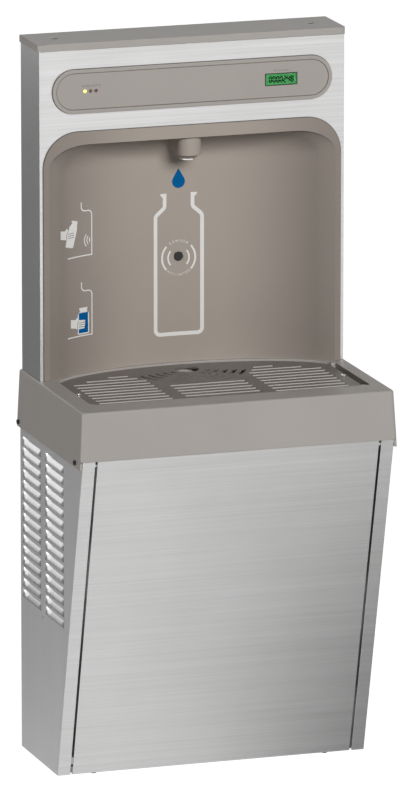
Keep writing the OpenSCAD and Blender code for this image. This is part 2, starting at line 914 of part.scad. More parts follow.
module flow_straightener() {
    low = ceiling_z - housing_h - spout_drop;
    color(white) on_wall() translate([0, -spout_y, low + ring_wall]) difference() {
        cylinder(r = spout_r - ring_wall - run_fit, h = straightener_h - ring_wall);
        for (i = [0 : 7]) rotate(45 * i) translate([straightener_ring_r, 0, -over])
            cylinder(r = straightener_hole_r, h = straightener_h + over);
        for (i = [0 : 11]) rotate(30 * i) translate([2 * straightener_ring_r - straightener_hole_r, 0, -over])
            cylinder(r = straightener_hole_r, h = straightener_h + over);
        translate([0, 0, -over]) cylinder(r = straightener_hole_r, h = straightener_h + over);
    }
}

module spout_elbow() {
    foot = ceiling_z + liner_t + seat;
    top = elbow_z + elbow_r;
    color(white) on_wall() difference() {
        union() {
            translate([0, -spout_y, foot]) cylinder(r = elbow_r, h = top - foot);
            rod_x(-elbow_len, -spout_y, elbow_z + elbow_r / 4, elbow_arm_r, elbow_len);
        }
        translate([0, -spout_y, foot - over])
            cylinder(r = spout_thread_r + run_fit, h = elbow_z - foot + over);
    }
}

module sensor_window() {
    color([0.06, 0.05, 0.06]) on_wall() rod_y(0, sensor_t - alcove_y - sensor_proud, sensor_z, sensor_r,
        sensor_t);
}

module sensor_module() {
    y = -alcove_y + sensor_t - sensor_proud + seat;
    color(dark) on_wall() block([-sensor_body_w / 2, y, sensor_z - sensor_body_h / 2],
        [sensor_body_w / 2, -plate_t - seat, sensor_z + sensor_body_h / 2]);
}

// Basin and grille

module basin_body(grow, foot, top) {
    rise = deck_z - foot;
    share = rise / skirt_side_h;
    w = basin_w + 2 * grow;
    d = basin_d + grow;
    hull() {
        translate([0, 0, foot]) linear_extrude(slice)
            polygon(deck_plan(w + 2 * flare_x * share, d + flare_y * share, basin_r, grow < 0 ? mould : 0));
        translate([0, 0, top - skirt_edge * (grow < 0 ? 0 : 1)]) linear_extrude(slice)
            polygon(deck_plan(w, d, basin_r, grow < 0 ? mould : 0));
        translate([0, 0, top - slice]) linear_extrude(slice)
            polygon(deck_plan(w - 2 * skirt_edge, d - skirt_edge, basin_r, grow < 0 ? mould : 0));
    }
}

module bowl_space(grow) {
    hull() {
        translate([0, 0, grille_z + slice - seat]) linear_extrude(slice) polygon(grille_plan(grow - ledge));
        translate([0, 0, bowl_z + bowl_slope - grow]) linear_extrude(slice) 
            polygon(grille_plan(grow - bowl_in, bowl_r));
        translate([0, -waste_y, bowl_z - grow]) cylinder(r = sump_r + grow, h = slice);
    }
}

// Finger slot at the right of the grille, with a round front end
module finger_slot(low, high) {
    x = grille_w / 2 + grille_gap;
    y = grille_front - finger_w / 2;
    block([x - finger_in, -y, low], [x + finger_w - grille_gap, -finger_y0, high]);
    translate([x + finger_w / 2 - grille_gap, -y, low]) cylinder(d = finger_w, h = high - low);
}

module basin() {
    foot = deck_z - skirt_side_h;
    pocket_z = grille_z - seat;
    trough_x = grille_w / 2 + finger_w;
    color(taupe) on_wall() difference() {
        union() {
            difference() {
                basin_body(0, foot, deck_z);
                basin_body(-mould, foot - over, deck_z - mould);
            }
            translate([0, 0, pocket_z - mould]) linear_extrude(deck_z - pocket_z + mould / 2)
                polygon(grille_plan(grille_gap + mould));
            bowl_space(mould);
            block([trough_x - finger_in - 2 * mould, -grille_front - mould, deck_z - finger_depth - mould],
                [trough_x + mould, mould - finger_y0, deck_z - slice]);
            both_sides() block([in_x - flange_in + rib_t / 2, -basin_d + 2 * flange_in, cab_top + seat],
                [in_x - flange_in + 3 * rib_t / 2, -tower_d, deck_z - slice]);
            block([front_rail_d - front_x, -front_rail_y + rib_t, cab_top - sheet],
                [front_x - front_rail_d, -front_rail_y + 2 * rib_t, deck_z - slice]);
            block([mould - basin_w / 2, -mould, deck_z - back_lip], [basin_w / 2 - mould, 0, deck_z - slice]);
        }
        translate([0, 0, pocket_z]) linear_extrude(deck_z) polygon(grille_plan(grille_gap));
        bowl_space(0);
        finger_slot(deck_z - finger_depth, deck_z + over);
        translate([0, -waste_y, 0]) cylinder(r = waste_body_r + waste_hole_gap, h = deck_z);
        both_sides() block([service_x - service_w / 2, -service_y1, bowl_z],
            [service_x + service_w / 2, -service_y0, deck_z + over]);
        block([-basin_w, -2 * basin_d, 0], [basin_w, mould - basin_d, cab_h]);
        both_sides() for (y = [skirt_screw_rear, skirt_screw_front])
            rod_x(cab_x, -y, foot + skirt_screw_up, screw_hole_r, basin_r);
    }
}

module basin_screws() {
    z = deck_z - skirt_side_h + skirt_screw_up;
    x = basin_w / 2 + flare_x + seat;
    color(dark) on_wall() both_sides() for (y = [skirt_screw_rear, skirt_screw_front]) difference() {
        union() {
            rod_x(in_x - rib_t, -y, z, screw_r, x - in_x + rib_t + seat);
            rod_x(x - seat / 2, -y, z, skirt_screw_head_r, skirt_screw_head_t);
        }
        rod_x(x + skirt_screw_head_t / 2, -y, z, screw_r, skirt_screw_head_t);
    }
}

// One straight row of the grille, centred between x0 and x1
module slot_row(x0, x1, y) {
    block([x0, -y - slot_w / 2, 0], [x1, slot_w / 2 - y, 2 * grille_z]);
}

module ring_slot(r, from, turn) {
    translate([0, -spout_y, 0]) rotate(from) rotate_extrude(angle = turn)
        translate([r - ring_w / 2, 0]) square([ring_w, 2 * grille_z]);
}

module drain_grille() {
    color(grille_grey) on_wall() difference() {
        translate([0, 0, grille_z]) linear_extrude(grille_t) polygon(grille_plan(0));
        for (k = [0 : side_rows - 1]) let(inset = max(0, 2 - k)) both_sides()
            slot_row(slot_x0 + inset * slot_pitch / 2, slot_x1 - inset * (inset * slot_w + slot_pitch),
                first_row + k * slot_pitch);
        for (k = [0 : mid_rows - 1]) slot_row(-slot_mid_x, slot_mid_x, mid_row + k * slot_pitch);
        for (k = [0 : ring_count - 1]) let(r = ring_first + k * ring_pitch) {
            ring_slot(r, 270 - ring_front_deg / 2, ring_front_deg);
            for (from = [180 + ring_edge_deg, 360 - ring_edge_deg - ring_side_deg])
                ring_slot(r, from, ring_side_deg);
        }
        translate([0, -spout_y, 0]) cylinder(r = spout_hole_r, h = 2 * grille_z);
        both_sides() translate([grille_screw_x, -grille_screw_y, 0])
            cylinder(r = screw_hole_r, h = 2 * grille_z);
    }
}

module grille_screws() {
    color(bright) on_wall() both_sides() translate([grille_screw_x, -grille_screw_y, grille_z]) {
        translate([0, 0, grille_t + seat / 2]) difference() {
            cylinder(r = grille_screw_r, h = grille_screw_t);
            translate([0, 0, grille_screw_t / 2]) cylinder(r = screw_r, h = grille_screw_t, $fn = 6);
        }
        cylinder(r = screw_r, h = grille_t + seat);
    }
}

// Waste

module pipe(r, h) {
    difference() {
        cylinder(r = r, h = h);
        translate([0, 0, -over]) cylinder(r = r - waste_t, h = h + 2 * over);
    }
}

module waste_fitting() {
    color(bright) on_wall() translate([0, -waste_y, 0]) {
        difference() {
            union() {
                translate([0, 0, bowl_z + seat]) cylinder(r = waste_flange_r, h = waste_t);
                translate([0, 0, bowl_z - 2 * nut_h]) cylinder(r = waste_body_r, h = 2 * nut_h + waste_t);
                translate([0, 0, tail_z]) cylinder(r = waste_r, h = bowl_z - tail_z - nut_h);
            }
            translate([0, 0, tail_z - over]) cylinder(r = waste_r - waste_t, h = bowl_z);
        }
        for (a = [0, 90]) rotate(a)
            block([-waste_r, -waste_t / 2, bowl_z], [waste_r, waste_t / 2, bowl_z + waste_t]);
    }
}

// Pipe bend in the plane of Y and Z, turning from one angle to the next
module bend(y, z, radius, from, turn, r) {
    translate([0, y, z]) rotate([90, 0, 90]) rotate(from) rotate_extrude(angle = turn)
        translate([radius, 0]) difference() {
            circle(r = r);
            circle(r = r - waste_t);
        }
}

module waste_trap() {
    y = 2 * trap_bend - waste_y;
    top = trap_z + 2 * nut_h - waste_t;
    color(white) on_wall() {
        translate([0, -waste_y, tail_z - waste_t - seat]) difference() {
            cylinder(r = socket_r, h = socket_h + waste_t);
            translate([0, 0, -over]) cylinder(r = waste_r - waste_t, h = socket_h);
            translate([0, 0, waste_t]) cylinder(r = waste_r + seat, h = socket_h + over);
        }
        translate([0, -waste_y, trap_z]) pipe(waste_r, tail_z - waste_t - trap_z);
        bend(-waste_y + trap_bend, trap_z, trap_bend, 180, 180, waste_r);
        translate([0, y, trap_z]) pipe(waste_r, top - trap_z);
        bend(y + arm_bend, top, arm_bend, 90, 90, waste_r);
        translate([0, -plate_t, top + arm_bend]) rotate([90, 0, 0]) pipe(waste_r, -y - arm_bend - plate_t);
    }
}

module waste_nuts() {
    color(white) on_wall() translate([0, -waste_y, 0]) {
        translate([0, 0, bowl_z - mould - seat - nut_h]) difference() {
            cylinder(r = nut_r + waste_t, h = nut_h, $fn = 6);
            translate([0, 0, -over]) cylinder(r = waste_body_r + run_fit, h = nut_h + 2 * over);
        }
        translate([0, 0, tail_z + socket_h - seat - nut_h]) difference() {
            union() {
                cylinder(r = nut_r, h = nut_h);
                for (i = [0 : 7]) rotate(45 * i)
                    block([nut_r - waste_t, -waste_t, 0], [nut_r + waste_t, waste_t, nut_h]);
            }
            translate([0, 0, -over]) cylinder(r = socket_r + run_fit, h = nut_h + 2 * over);
        }
    }
}

// Cabinet

module louvre(y, top) {
    low = top - louvre_h;
    rise = louvre_h * louvre_rise_share;
    facing(y, louvre_len) polygon([[cab_x - slice, low - sheet], [cab_x - slice, low],
        [cab_x - louvre_depth, low + rise], [cab_x - louvre_depth, low + rise - sheet], [in_x, low - sheet]]);
    for (end = [y + slice, y - louvre_len + sheet - slice]) facing(end, sheet)
        polygon([[cab_x - slice, low - slice], [cab_x - slice, top + slice],
            [cab_x - louvre_depth, low + rise]]);
}

module right_panel_shape() {
    back = 2 * seat;
    step = sheet + seam;
    edge = [[-back, 0], [step - cab_foot_d, 0], [step - cab_d, cab_h], [step - cab_d, cab_top],
        [-back, cab_top]];
    difference() {
        union() {
            sideways(in_x, sheet) polygon(edge);
            block([in_x - flange_in, step - cab_d, cab_top - sheet], [cab_x - slice, -back, cab_top]);
            block([in_x - flange_in, -back - sheet, pan_z + pan_up + sheet], [cab_x - slice, -back, cab_top]);
        }
        for (i = [0 : louvre_count - 1], y = louvre_columns)
            block([in_x - over, y - louvre_len, louvre_top - louvre_h - i * louvre_pitch],
                [cab_x + over, y, louvre_top - i * louvre_pitch]);
        for (y = [skirt_screw_rear, skirt_screw_front])
            rod_x(in_x - over, -y, deck_z - skirt_side_h + skirt_screw_up, screw_hole_r, sheet + 2 * over);
        for (z = [louvre_top + louvre_space / 2, louvre_top - louvre_count * louvre_pitch - louvre_space / 5])
            rod_x(in_x - over, screw_r - louvre_rear - louvre_len - louvre_space / 2, z, screw_r,
                sheet + 2 * over);
    }
    for (i = [0 : louvre_count - 1], y = louvre_columns) louvre(y, louvre_top - i * louvre_pitch);
}

module right_side_panel() {
    color(steel) on_wall() right_panel_shape();
}

module left_side_panel() {
    color(steel) on_wall() mirror([1, 0, 0]) right_panel_shape();
}

module right_post_shape() {
    intersection() {
        on_slope() {
            block([post_x, 0, -cab_d], [cab_x, sheet, slope_len]);
            block([post_x, slice, -cab_d], [post_x + sheet, flange_in + sheet, slope_len]);
            block([in_x - seat - sheet, slice, -cab_d], [in_x - seat, flange_in, slope_len]);
        }
        union() {
            block([0, -cab_d, 0], [cab_w, seat + sheet - cab_foot_d, cab_h]);
            block([0, -2 * cab_d, pan_z + sheet + seat], [cab_w, 0, cab_h]);
        }
    }
    on_slope() rod_x(post_x - stud_len, stud_in, slope_len - stud_down, stud_r, stud_len + sheet);
}

module right_front_post() {
    color(steel) on_wall() right_post_shape();
}

module left_front_post() {
    color(steel) on_wall() mirror([1, 0, 0]) right_post_shape();
}

module front_panel() {
    x = front_x;
    fold_low = pan_z + 2 * pan_up;
    color(steel) on_wall() difference() {
        union() {
            intersection() {
                on_slope() block([-x, 0, -cab_d], [x, sheet, slope_len]);
                block([-x, -2 * cab_d, lip_z], [x, 0, cab_h]);
            }
            intersection() {
                on_slope() {
                    both_sides() block([x - sheet, slice, 0], [x, front_fold, slope_len]);
                    block([-x, slice, slope_len - sheet], [x, front_fold, slope_len]);
                }
                block([-x, -2 * cab_d, fold_low], [x, 0, cab_h]);
            }
            block([-x, sheet - cab_foot_d, lip_z], [x, lip_d - cab_foot_d, lip_z + sheet]);
        }
        both_sides() {
            on_slope() rod_x(x - sheet - over, stud_in, slope_len - stud_down, stud_r + run_fit,
                sheet + 2 * over);
            translate([foot_screw_x, -foot_screw_y, 0]) cylinder(r = screw_hole_r, h = pan_up);
        }
    }
}

module front_panel_screws() {
    color(dark) on_wall() both_sides() translate([foot_screw_x, -foot_screw_y, 0]) difference() {
        union() {
            translate([0, 0, lip_z - seat - foot_head_t]) cylinder(r = foot_head_r, h = foot_head_t);
            translate([0, 0, lip_z - seat - foot_head_t])
                cylinder(r = foot_screw_r, h = foot_head_t + pan_up);
        }
        translate([0, 0, lip_z - seat - foot_head_t - over])
            cylinder(r = screw_r, h = over + foot_head_t / 2, $fn = 6);
    }
}

module base_pan() {
    front = cab_foot_d - sheet - 2 * seat;
    rear = 2 * seat + sheet;
    color(zinc) on_wall() difference() {
        union() {
            block([-pan_x, -front, pan_z], [pan_x, -rear, pan_z + sheet]);
            both_sides() block([pan_x - sheet, -front + lip_d + sheet, pan_z],
                [pan_x, -rear, pan_z + pan_up]);
            block([-pan_x, -rear - sheet, pan_z], [pan_x, -rear, pan_z + pan_up]);
        }
        both_sides() {
            translate([foot_screw_x, -foot_screw_y, 0]) cylinder(r = foot_screw_r + notch_gap, h = pan_up);
            block([foot_screw_x - foot_screw_r - notch_gap, -cab_foot_d, 0],
                [foot_screw_x + foot_screw_r + notch_gap, -foot_screw_y, pan_up]);
        }
        translate([gland_x, -box_y - box_d / 2, 0]) cylinder(r = cord_notch_r, h = 2 * pan_up);
        block([gland_x - cord_notch_r, -box_y - box_d / 2, 0], [gland_x + cord_notch_r, 0, 2 * pan_up]);
    }
}

module hanger_bracket() {
    low = hanger_h - hang_low;
    top = hanger_h + hang_up;
    color(zinc) on_wall() difference() {
        union() {
            block([-hang_w / 2, -hang_t, low], [hang_w / 2, 0, top]);
            block([-hang_w / 2, -hang_step, top - hang_t], [hang_w / 2, 0, top]);
            block([-hang_w / 2, -hang_step, top - hang_t], [hang_w / 2, hang_t - hang_step, top + hang_lip]);
        }
        for (z = [-hang_bolt_z / 2, hang_bolt_z / 2]) both_sides()
            rod_y(hang_bolt_x / 2, over, hanger_h + z, wall_hole_r, hang_t + 2 * over);
    }
}

module rear_cross_rail() {
    hook = hanger_h + hang_up + hang_lip + seat;
    front = hang_step + seat;
    rear = hang_step - hang_t - seat - sheet;
    color(zinc) on_wall() {
        block([-pan_x, -front - sheet, hook + sheet - rail_h], [pan_x, -front, hook + sheet]);
        block([-pan_x, -front - sheet, hook], [pan_x, -rear, hook + sheet]);
        block([-hang_w / 2, -rear - sheet, hook - hang_lip + sheet], [hang_w / 2, -rear, hook + sheet]);
    }
}

module basin_front_rail() {
    top = cab_top - sheet - seat;
    color(zinc) on_wall() {
        block([-pan_x, -front_rail_y, top - sheet], [pan_x, front_rail_d - front_rail_y, top]);
        block([-pan_x, -front_rail_y, top - front_rail_h], [pan_x, sheet - front_rail_y, top]);
    }
}

// Cooling unit

module compressor() {
    r = comp_r;
    h = comp_h;
    low = h * comp_box_shares[0];
    pipe_z = h * comp_pipe_share;
    color(dark) on_wall() translate([-comp_x, -comp_y, comp_z]) {
        rotate_extrude() polygon([for (p = comp_shares) [r * p[0], h * p[1]]]);
        translate([0, 0, h * comp_seam_share]) cylinder(r = r + comp_seam, h = comp_seam_h);
        difference() {
            block([-comp_plate_w / 2, -comp_plate_d / 2, -comp_plate_t],
                [comp_plate_w / 2, comp_plate_d / 2, slice]);
            for (y = [-1, 1]) both_sides() translate([comp_foot_x, y * comp_foot_y, -comp_plate_t - over])
                cylinder(r = comp_foot_bore + run_fit, h = comp_plate_t + 2 * over);
        }
        both_sides() translate([comp_pipe_x, 0, pipe_z])
            cylinder(r = comp_pipe_r, h = h + comp_pipe_h - pipe_z);
        block([-comp_box_w / 2, -r - comp_box_d, low],
            [comp_box_w / 2, -r * comp_box_shares[1], low + comp_box_h]);
    }
}

module compressor_feet() {
    color(dark) on_wall() translate([-comp_x, -comp_y, pan_z + sheet]) for (y = [-1, 1]) both_sides()
        translate([comp_foot_x, y * comp_foot_y, 0]) {
            cylinder(r = comp_foot_r, h = comp_foot_h);
            cylinder(r = comp_foot_bore, h = comp_foot_h + comp_plate_t + over);
        }
}

module condenser_coil() {
    x0 = -cond_x;
    color(zinc) on_wall() {
        for (i = [0 : fin_count - 1]) let(y = -cond_y - i * (cond_w - fin_t) / (fin_count - 1))
            block([x0, y - fin_t, cond_z], [x0 + cond_t, y, cond_z + cond_h]);
        for (i = [0 : cond_rows - 1])
            rod_y(x0 + cond_t / 2, -cond_y, cond_z + (2 * i + 1) * cond_step, line_r + sheet, cond_w);
        for (i = [0, cond_rows - 1])
            rod_y(x0 + cond_t / 2, over - cond_y - cond_w, cond_z + (2 * i + 1) * cond_step, line_r,
                2 * line_r + over);
    }
}

module fan_shroud() {
    x = -shroud_x;
    rear = -cond_y;
    front = -cond_y - cond_w;
    floor_z = pan_z + sheet + seat;
    low = cond_z - seat - shroud_t;
    top = cond_z + cond_h + seat;
    color(zinc) on_wall() {
        difference() {
            sideways(x, shroud_t) polygon([[rear, floor_z], [2 * lip_d - cab_foot_d, floor_z], [front, low],
                [front, top + shroud_t], [rear, top + shroud_t]]);
            rod_x(x - over, -fan_y, fan_z, fan_r + fan_gap, shroud_t + 2 * over);
        }
        for (z = [low, top]) block([-cond_x, front, z], [x + slice, rear, z + shroud_t]);
        block([x, 2 * lip_d - cab_foot_d, floor_z], [x + lip_d, rear, floor_z + shroud_t]);
    }
}

module fan_motor() {
    x = -shroud_x + shroud_t;
    shaft_x = x + fan_hub_len + motor_gap;
    color(dark) on_wall() translate([0, -fan_y, fan_z]) {
        rod_x(shaft_x, 0, 0, motor_r, motor_len);
        rod_x(shaft_x, 0, 0, motor_r - motor_gap, motor_len + motor_gap);
        rod_x(x + fan_gap, 0, 0, fan_shaft_r, shaft_x - x);
        for (a = [0, 90, 180, 270]) rotate([a, 0, 0]) {
            rod_x(x, arm_r, 0, arm_w / 2, shaft_x + motor_len / 2 - x);
            block([shaft_x + motor_len / 2 - arm_t, 0, -arm_w / 2],
                [shaft_x + motor_len / 2, arm_r + arm_w / 2, arm_w / 2]);
        }
    }
}

module fan_blade() {
    x = -shroud_x + shroud_t + fan_gap / 2;
    color([0.2, 0.2, 0.22]) on_wall() translate([0, -fan_y, fan_z]) difference() {
        union() {
            rod_x(x, 0, 0, fan_hub_r, fan_hub_len);
            intersection() {
                for (i = [0 : fan_blades - 1]) rotate([i * 360 / fan_blades, 0, 0])
                    translate([x + fan_hub_len / 2, 0, fan_hub_r / 2]) rotate([0, 0, fan_pitch])
                        translate([-sheet, -fan_hub_r, 0]) cube([2 * sheet, 2 * fan_hub_r, fan_r]);
                rod_x(x, 0, 0, fan_r, fan_hub_len);
            }
        }
        rod_x(x - over, 0, 0, fan_shaft_r + run_fit, fan_hub_len + 2 * over);
    }
}

module cooling_tank() {
    color(bright) on_wall() translate([tank_x, -tank_y, tank_z]) {
        cylinder(r = tank_r, h = tank_h);
        both_sides() translate([port_x, 0, tank_h - over]) cylinder(r = port_r, h = port_h + over);
    }
}

evap_path = let(turn = evap_turns * evap_steps, z0 = tank_z + evap_low, z1 = tank_z + evap_high)
    concat([[tank_x + evap_ring, -tank_y - tail_len, z0]],
        [for (i = [0 : turn]) let(a = 360 * i / evap_steps)
            [tank_x + evap_ring * cos(a), evap_ring * sin(a) - tank_y, z0 + (z1 - z0) * i / turn]],
        [[tank_x - evap_ring, -tank_y - tail_len, z1]]);

module evaporator_coil() {
    color(copper) on_wall() tube(evap_path, evap_r, 6);
}

module tank_insulation() {
    color(foam) on_wall() translate([tank_x, -tank_y, 0]) difference() {
        translate([0, 0, tank_z - foam_t]) cylinder(r = foam_r, h = tank_h + 2 * foam_t);
        translate([0, 0, tank_z - seat]) cylinder(r = foam_in, h = tank_h + 2 * seat);
        both_sides() translate([port_x, 0, tank_z]) cylinder(r = port_r + seat, h = 2 * tank_h);
        for (s = [-1, 1]) translate([s * evap_ring, 0, tank_z + (s > 0 ? evap_low : evap_high)])
            rotate([90, 0, 0]) cylinder(r = 2 * evap_r, h = tail_len);
    }
}

module tank_stand() {
    top = tank_z - foam_t - seat;
    floor_z = pan_z + sheet + seat;
    color(zinc) on_wall() translate([tank_x, -tank_y, 0]) {
        block([-foam_r + foam_t, -foam_r + foam_t, top - shroud_t], [foam_r - foam_t, foam_r - foam_t, top]);
        both_sides() {
            block([foam_r - foam_t - shroud_t, -foam_r + foam_t, floor_z], [foam_r - foam_t, 0, top]);
            block([foam_r - foam_t - flange_in, -foam_r + foam_t, floor_z],
                [foam_r - foam_t, 0, floor_z + shroud_t]);
        }
    }
}

module thermostat_body() {
    x = tank_x - foam_r + foam_t - seat;
    y = tank_y + thermo_w / 2;
    color(white) on_wall() {
        block([x - thermo_d, -y - thermo_w / 2, thermo_z], [x, thermo_w / 2 - y, thermo_z + thermo_h]);
        rod_y(x - thermo_d / 2, -y - thermo_w / 2, thermo_z + thermo_h / 2, knob_shaft_r, knob_shaft_len);
    }
}

module thermostat_knob() {
    x = tank_x - foam_r + foam_t - seat - thermo_d / 2;
    y = -tank_y - thermo_w - 2 * seat;
    color(dark) on_wall() difference() {
        union() {
            rod_y(x, y, thermo_z + thermo_h / 2, knob_r, knob_h);
            block([x - sheet, y - knob_h - sheet, thermo_z + thermo_h / 2],
                [x + sheet, y - knob_h + slice, thermo_z + thermo_h / 2 + knob_r]);
        }
        rod_y(x, y + over, thermo_z + thermo_h / 2, knob_shaft_r + run_fit, knob_h + sheet + 2 * over);
    }
}

module refrigerant_lines() {
    comp_top = comp_z + comp_h + comp_pipe_h;
    cx = -cond_x + cond_t / 2;
    end_y = -cond_y - cond_w - 2 * line_r;
    far_y = end_y - line_out;
    hot_z = cond_z + cond_h - cond_step;
    cool_z = cond_z + cond_step;
    near_y = end_y - line_out / 2;
    tail_y = -tank_y - tail_len;
    color(copper) on_wall() {
        tube(rounded([[-comp_x - comp_pipe_x, -comp_y, comp_top],
            [-comp_x - comp_pipe_x, -comp_y, comp_top + line_up],
            [-comp_x - comp_pipe_x, far_y, comp_top + line_up], [line_riser_x, far_y, comp_top + line_up],
            [line_riser_x, far_y, hot_z], [cx, far_y, hot_z], [cx, end_y, hot_z]], line_bend), line_r);
        tube(rounded([[cx, end_y, cool_z], [cx, near_y, cool_z], [drier_x, near_y, cool_z],
            [drier_x, -drier_y, cool_z], [drier_x, -drier_y, drier_z + drier_h]], line_bend), line_r);
        tube(rounded([[drier_x, -drier_y, drier_z], [drier_x, -drier_y, drier_z - 2 * line_up],
            [tank_x + evap_ring, tail_y - line_out, drier_z - 2 * line_up],
            [tank_x + evap_ring, tail_y - line_out, tank_z + evap_low],
                [tank_x + evap_ring, tail_y, tank_z + evap_low]],
            line_bend), evap_r);
        tube(rounded([[tank_x - evap_ring, tail_y, tank_z + evap_high],
            [tank_x - evap_ring, tail_y - line_out, tank_z + evap_high],
            [tank_x - evap_ring, tail_y - line_out, comp_top + 2 * line_up],
            [comp_pipe_x - comp_x, tail_y - line_out, comp_top + 2 * line_up],
            [comp_pipe_x - comp_x, -comp_y, comp_top + 2 * line_up],
                [comp_pipe_x - comp_x, -comp_y, comp_top]],
            line_bend), line_r);
    }
}

module filter_drier() {
    color(copper) on_wall() translate([drier_x, -drier_y, drier_z]) rotate_extrude()
        polygon([[0, 0], [line_r + over, 0], [line_r + over, drier_r / 2], [drier_r, drier_r],
            [drier_r, drier_h - drier_r], [line_r + over, drier_h - drier_r / 2],
                [line_r + over, drier_h], [0, drier_h]]);
}

// Water path

module stop_valve() {
    color(brass) on_wall() difference() {
        union() {
            rod_y(stop_x, -seat, stop_z, stop_r, stop_len);
            translate([stop_x, -stop_port_y, stop_z]) cylinder(r = stop_port_r, h = stop_port_h);
            rod_y(stop_x, -seat - stop_len, stop_z, stem_r, stem_len);
        }
        rod_y(stop_x, over, stop_z, stop_bore, stop_bore_len + over + seat);
    }
}

module stop_valve_handle() {
    y = -stop_len - 2 * seat;
    color([0.10, 0.25, 0.55]) on_wall() difference() {
        union() {
            rod_y(stop_x, y, stop_z, lever_hub_r, stem_len / 2);
            block([stop_x, y - lever_t, stop_z - lever_w / 2], [stop_x + lever_len, y, stop_z + lever_w / 2]);
        }
        rod_y(stop_x, y + over, stop_z, stem_r + run_fit, stem_len + 2 * over);
    }
}

module filter_head() {
    z = filter_top + seat;
    color([0.15, 0.20, 0.35]) on_wall() difference() {
        union() {
            block([tank_x - head_w / 2, -filter_y - head_neck_r - head_bracket_t, z],
                [tank_x + head_w / 2, head_neck_r + head_bracket_t - filter_y, z + head_h]);
            block([tank_x - head_w / 2, -filter_y - head_neck_r, z + head_h - head_bracket_t],
                [pan_x, head_neck_r - filter_y, z + head_h]);
            block([pan_x - head_bracket_t, -filter_y - head_neck_r, louvre_top + 2 * seat],
                [pan_x, head_neck_r - filter_y, z + head_h]);
            for (s = [0, 1]) rod_x(tank_x - head_w / 2 - port_r + s * (head_w + port_r - over), -filter_y,
                z + head_h / 2, port_r, port_r + over);
        }
        translate([tank_x, -filter_y, z - over])
            cylinder(r = head_neck_r - mould + run_fit, h = head_neck_h + over);
    }
}

module filter_cartridge() {
    r = filter_r;
    color(white) on_wall() translate([tank_x, -filter_y, filter_top - filter_h]) {
        rotate_extrude() polygon([[0, 0], [r - 2 * mould, 0], [r, 2 * mould],
            [r, filter_h - filter_neck_h - 2 * mould],
            [r - 2 * mould, filter_h - filter_neck_h], [head_neck_r, filter_h - filter_neck_h],
            [head_neck_r, filter_h - seat], [head_neck_r - mould, filter_h - seat],
            [head_neck_r - mould, filter_h + head_neck_h - 2 * seat],
                [0, filter_h + head_neck_h - 2 * seat]]);
        both_sides() block([-r - sheet, -mould, filter_h * wing_shares[0]],
            [over - r, mould, filter_h * wing_shares[1]]);
    }
}

module water_tubes() {
    head_z = filter_top + seat + head_h / 2;
    low = tank_z + tank_h + port_h;
    inlet_x = tank_x - head_w / 2 - port_r;
    outlet_x = tank_x + head_w / 2 + port_r;
    color([0.85, 0.87, 0.9]) on_wall() {
        tube(rounded([[stop_x, -stop_port_y, stop_z + stop_port_h], [stop_x, -stop_port_y, head_z],
            [stop_x, -filter_y, head_z], [inlet_x, -filter_y, head_z]], tube_bend), tube_r);
        tube(rounded([[outlet_x, -filter_y, head_z], [outlet_x + 2 * tube_bend, -filter_y, head_z],
            [outlet_x + 2 * tube_bend, -tank_y, low + 2 * tube_bend],
                [tank_x + port_x, -tank_y, low + 2 * tube_bend],
            [tank_x + port_x, -tank_y, low]], tube_bend), tube_r);
        tube(rounded([[tank_x - port_x, -tank_y, low], [tank_x - port_x, -tank_y, head_z],
            [service_x, -service_mid, head_z], [service_x, -service_mid, sol_z - sol_y / 2],
            [service_x, -sol_y, sol_z], [sol_x + sol_len / 2, -sol_y, sol_z]], tube_bend), tube_r);
        tube(rounded([[sol_x - sol_len / 2, -sol_y, sol_z], [-elbow_len - 2 * tube_bend, -sol_y, sol_z],
            [-elbow_len - 2 * tube_bend, -spout_y, elbow_z + elbow_r / 4],
                [-elbow_len, -spout_y, elbow_z + elbow_r / 4]],
            tube_bend), tube_r);
    }
}

module solenoid_valve() {
    color(brass) on_wall() difference() {
        union() {
            rod_x(sol_x - sol_len / 2, -sol_y, sol_z, sol_r, sol_len);
            translate([sol_x, -sol_y, sol_z]) cylinder(r = sleeve_r, h = sleeve_h + sleeve_cap);
            block([sol_x - coil_w / 2, -sol_y - coil_w / 2, sol_z + coil_up],
                [sol_x + coil_w / 2, coil_w / 2 - sol_y, sol_z + coil_up + coil_h]);
            block([sol_x - sol_r / 2, -sol_y, sol_z - sol_r / 2],
                [sol_x + sol_r / 2, -plate_t - seat, sol_z + sol_r / 2]);
        }
        translate([sol_x, -sol_y, sol_z + plunger_low])
            cylinder(r = plunger_r + run_fit, h = sleeve_h - plunger_low);
    }
}

module solenoid_plunger() {
    color(bright) on_wall() translate([sol_x, -sol_y, sol_z + plunger_low])
        cylinder(r = plunger_r, h = plunger_len);
}

module plunger_spring() {
    low = sol_z + plunger_low + plunger_len + spring_wire;
    high = sol_z + sleeve_h - spring_wire;
    n = spring_turns * spring_steps;
    color(bright) on_wall() tube([for (i = [0 : n]) let(a = 360 * i / spring_steps)
        [sol_x + spring_r * cos(a), spring_r * sin(a) - sol_y, low + (high - low) * i / n]], spring_wire, 5);
}

module electrical_box() {
    x1 = pan_x;
    x0 = x1 - box_w;
    color(zinc) on_wall() {
        difference() {
            block([x0, -box_y - box_d, box_z], [x1, -box_y, box_z + box_h]);
            block([x0 + shroud_t, -box_y - box_d - over, box_z + shroud_t],
                [x1 - shroud_t, -box_y - shroud_t, box_z + box_h - shroud_t]);
            translate([gland_x, -box_y - box_d / 2, box_z - over])
                cylinder(r = gland_r + run_fit, h = shroud_t + 2 * over);
        }
        block([x0, -box_y - box_d - seat - shroud_t, box_z], [x1, -box_y - box_d - seat, box_z + box_h]);
        block([x0 + box_w * box_shares[0], -box_y - box_d / 2, box_z + box_h * box_shares[1]],
            [x0 + box_w * box_shares[2], slice - box_y - shroud_t, box_z + box_h * box_shares[2]]);
    }
}

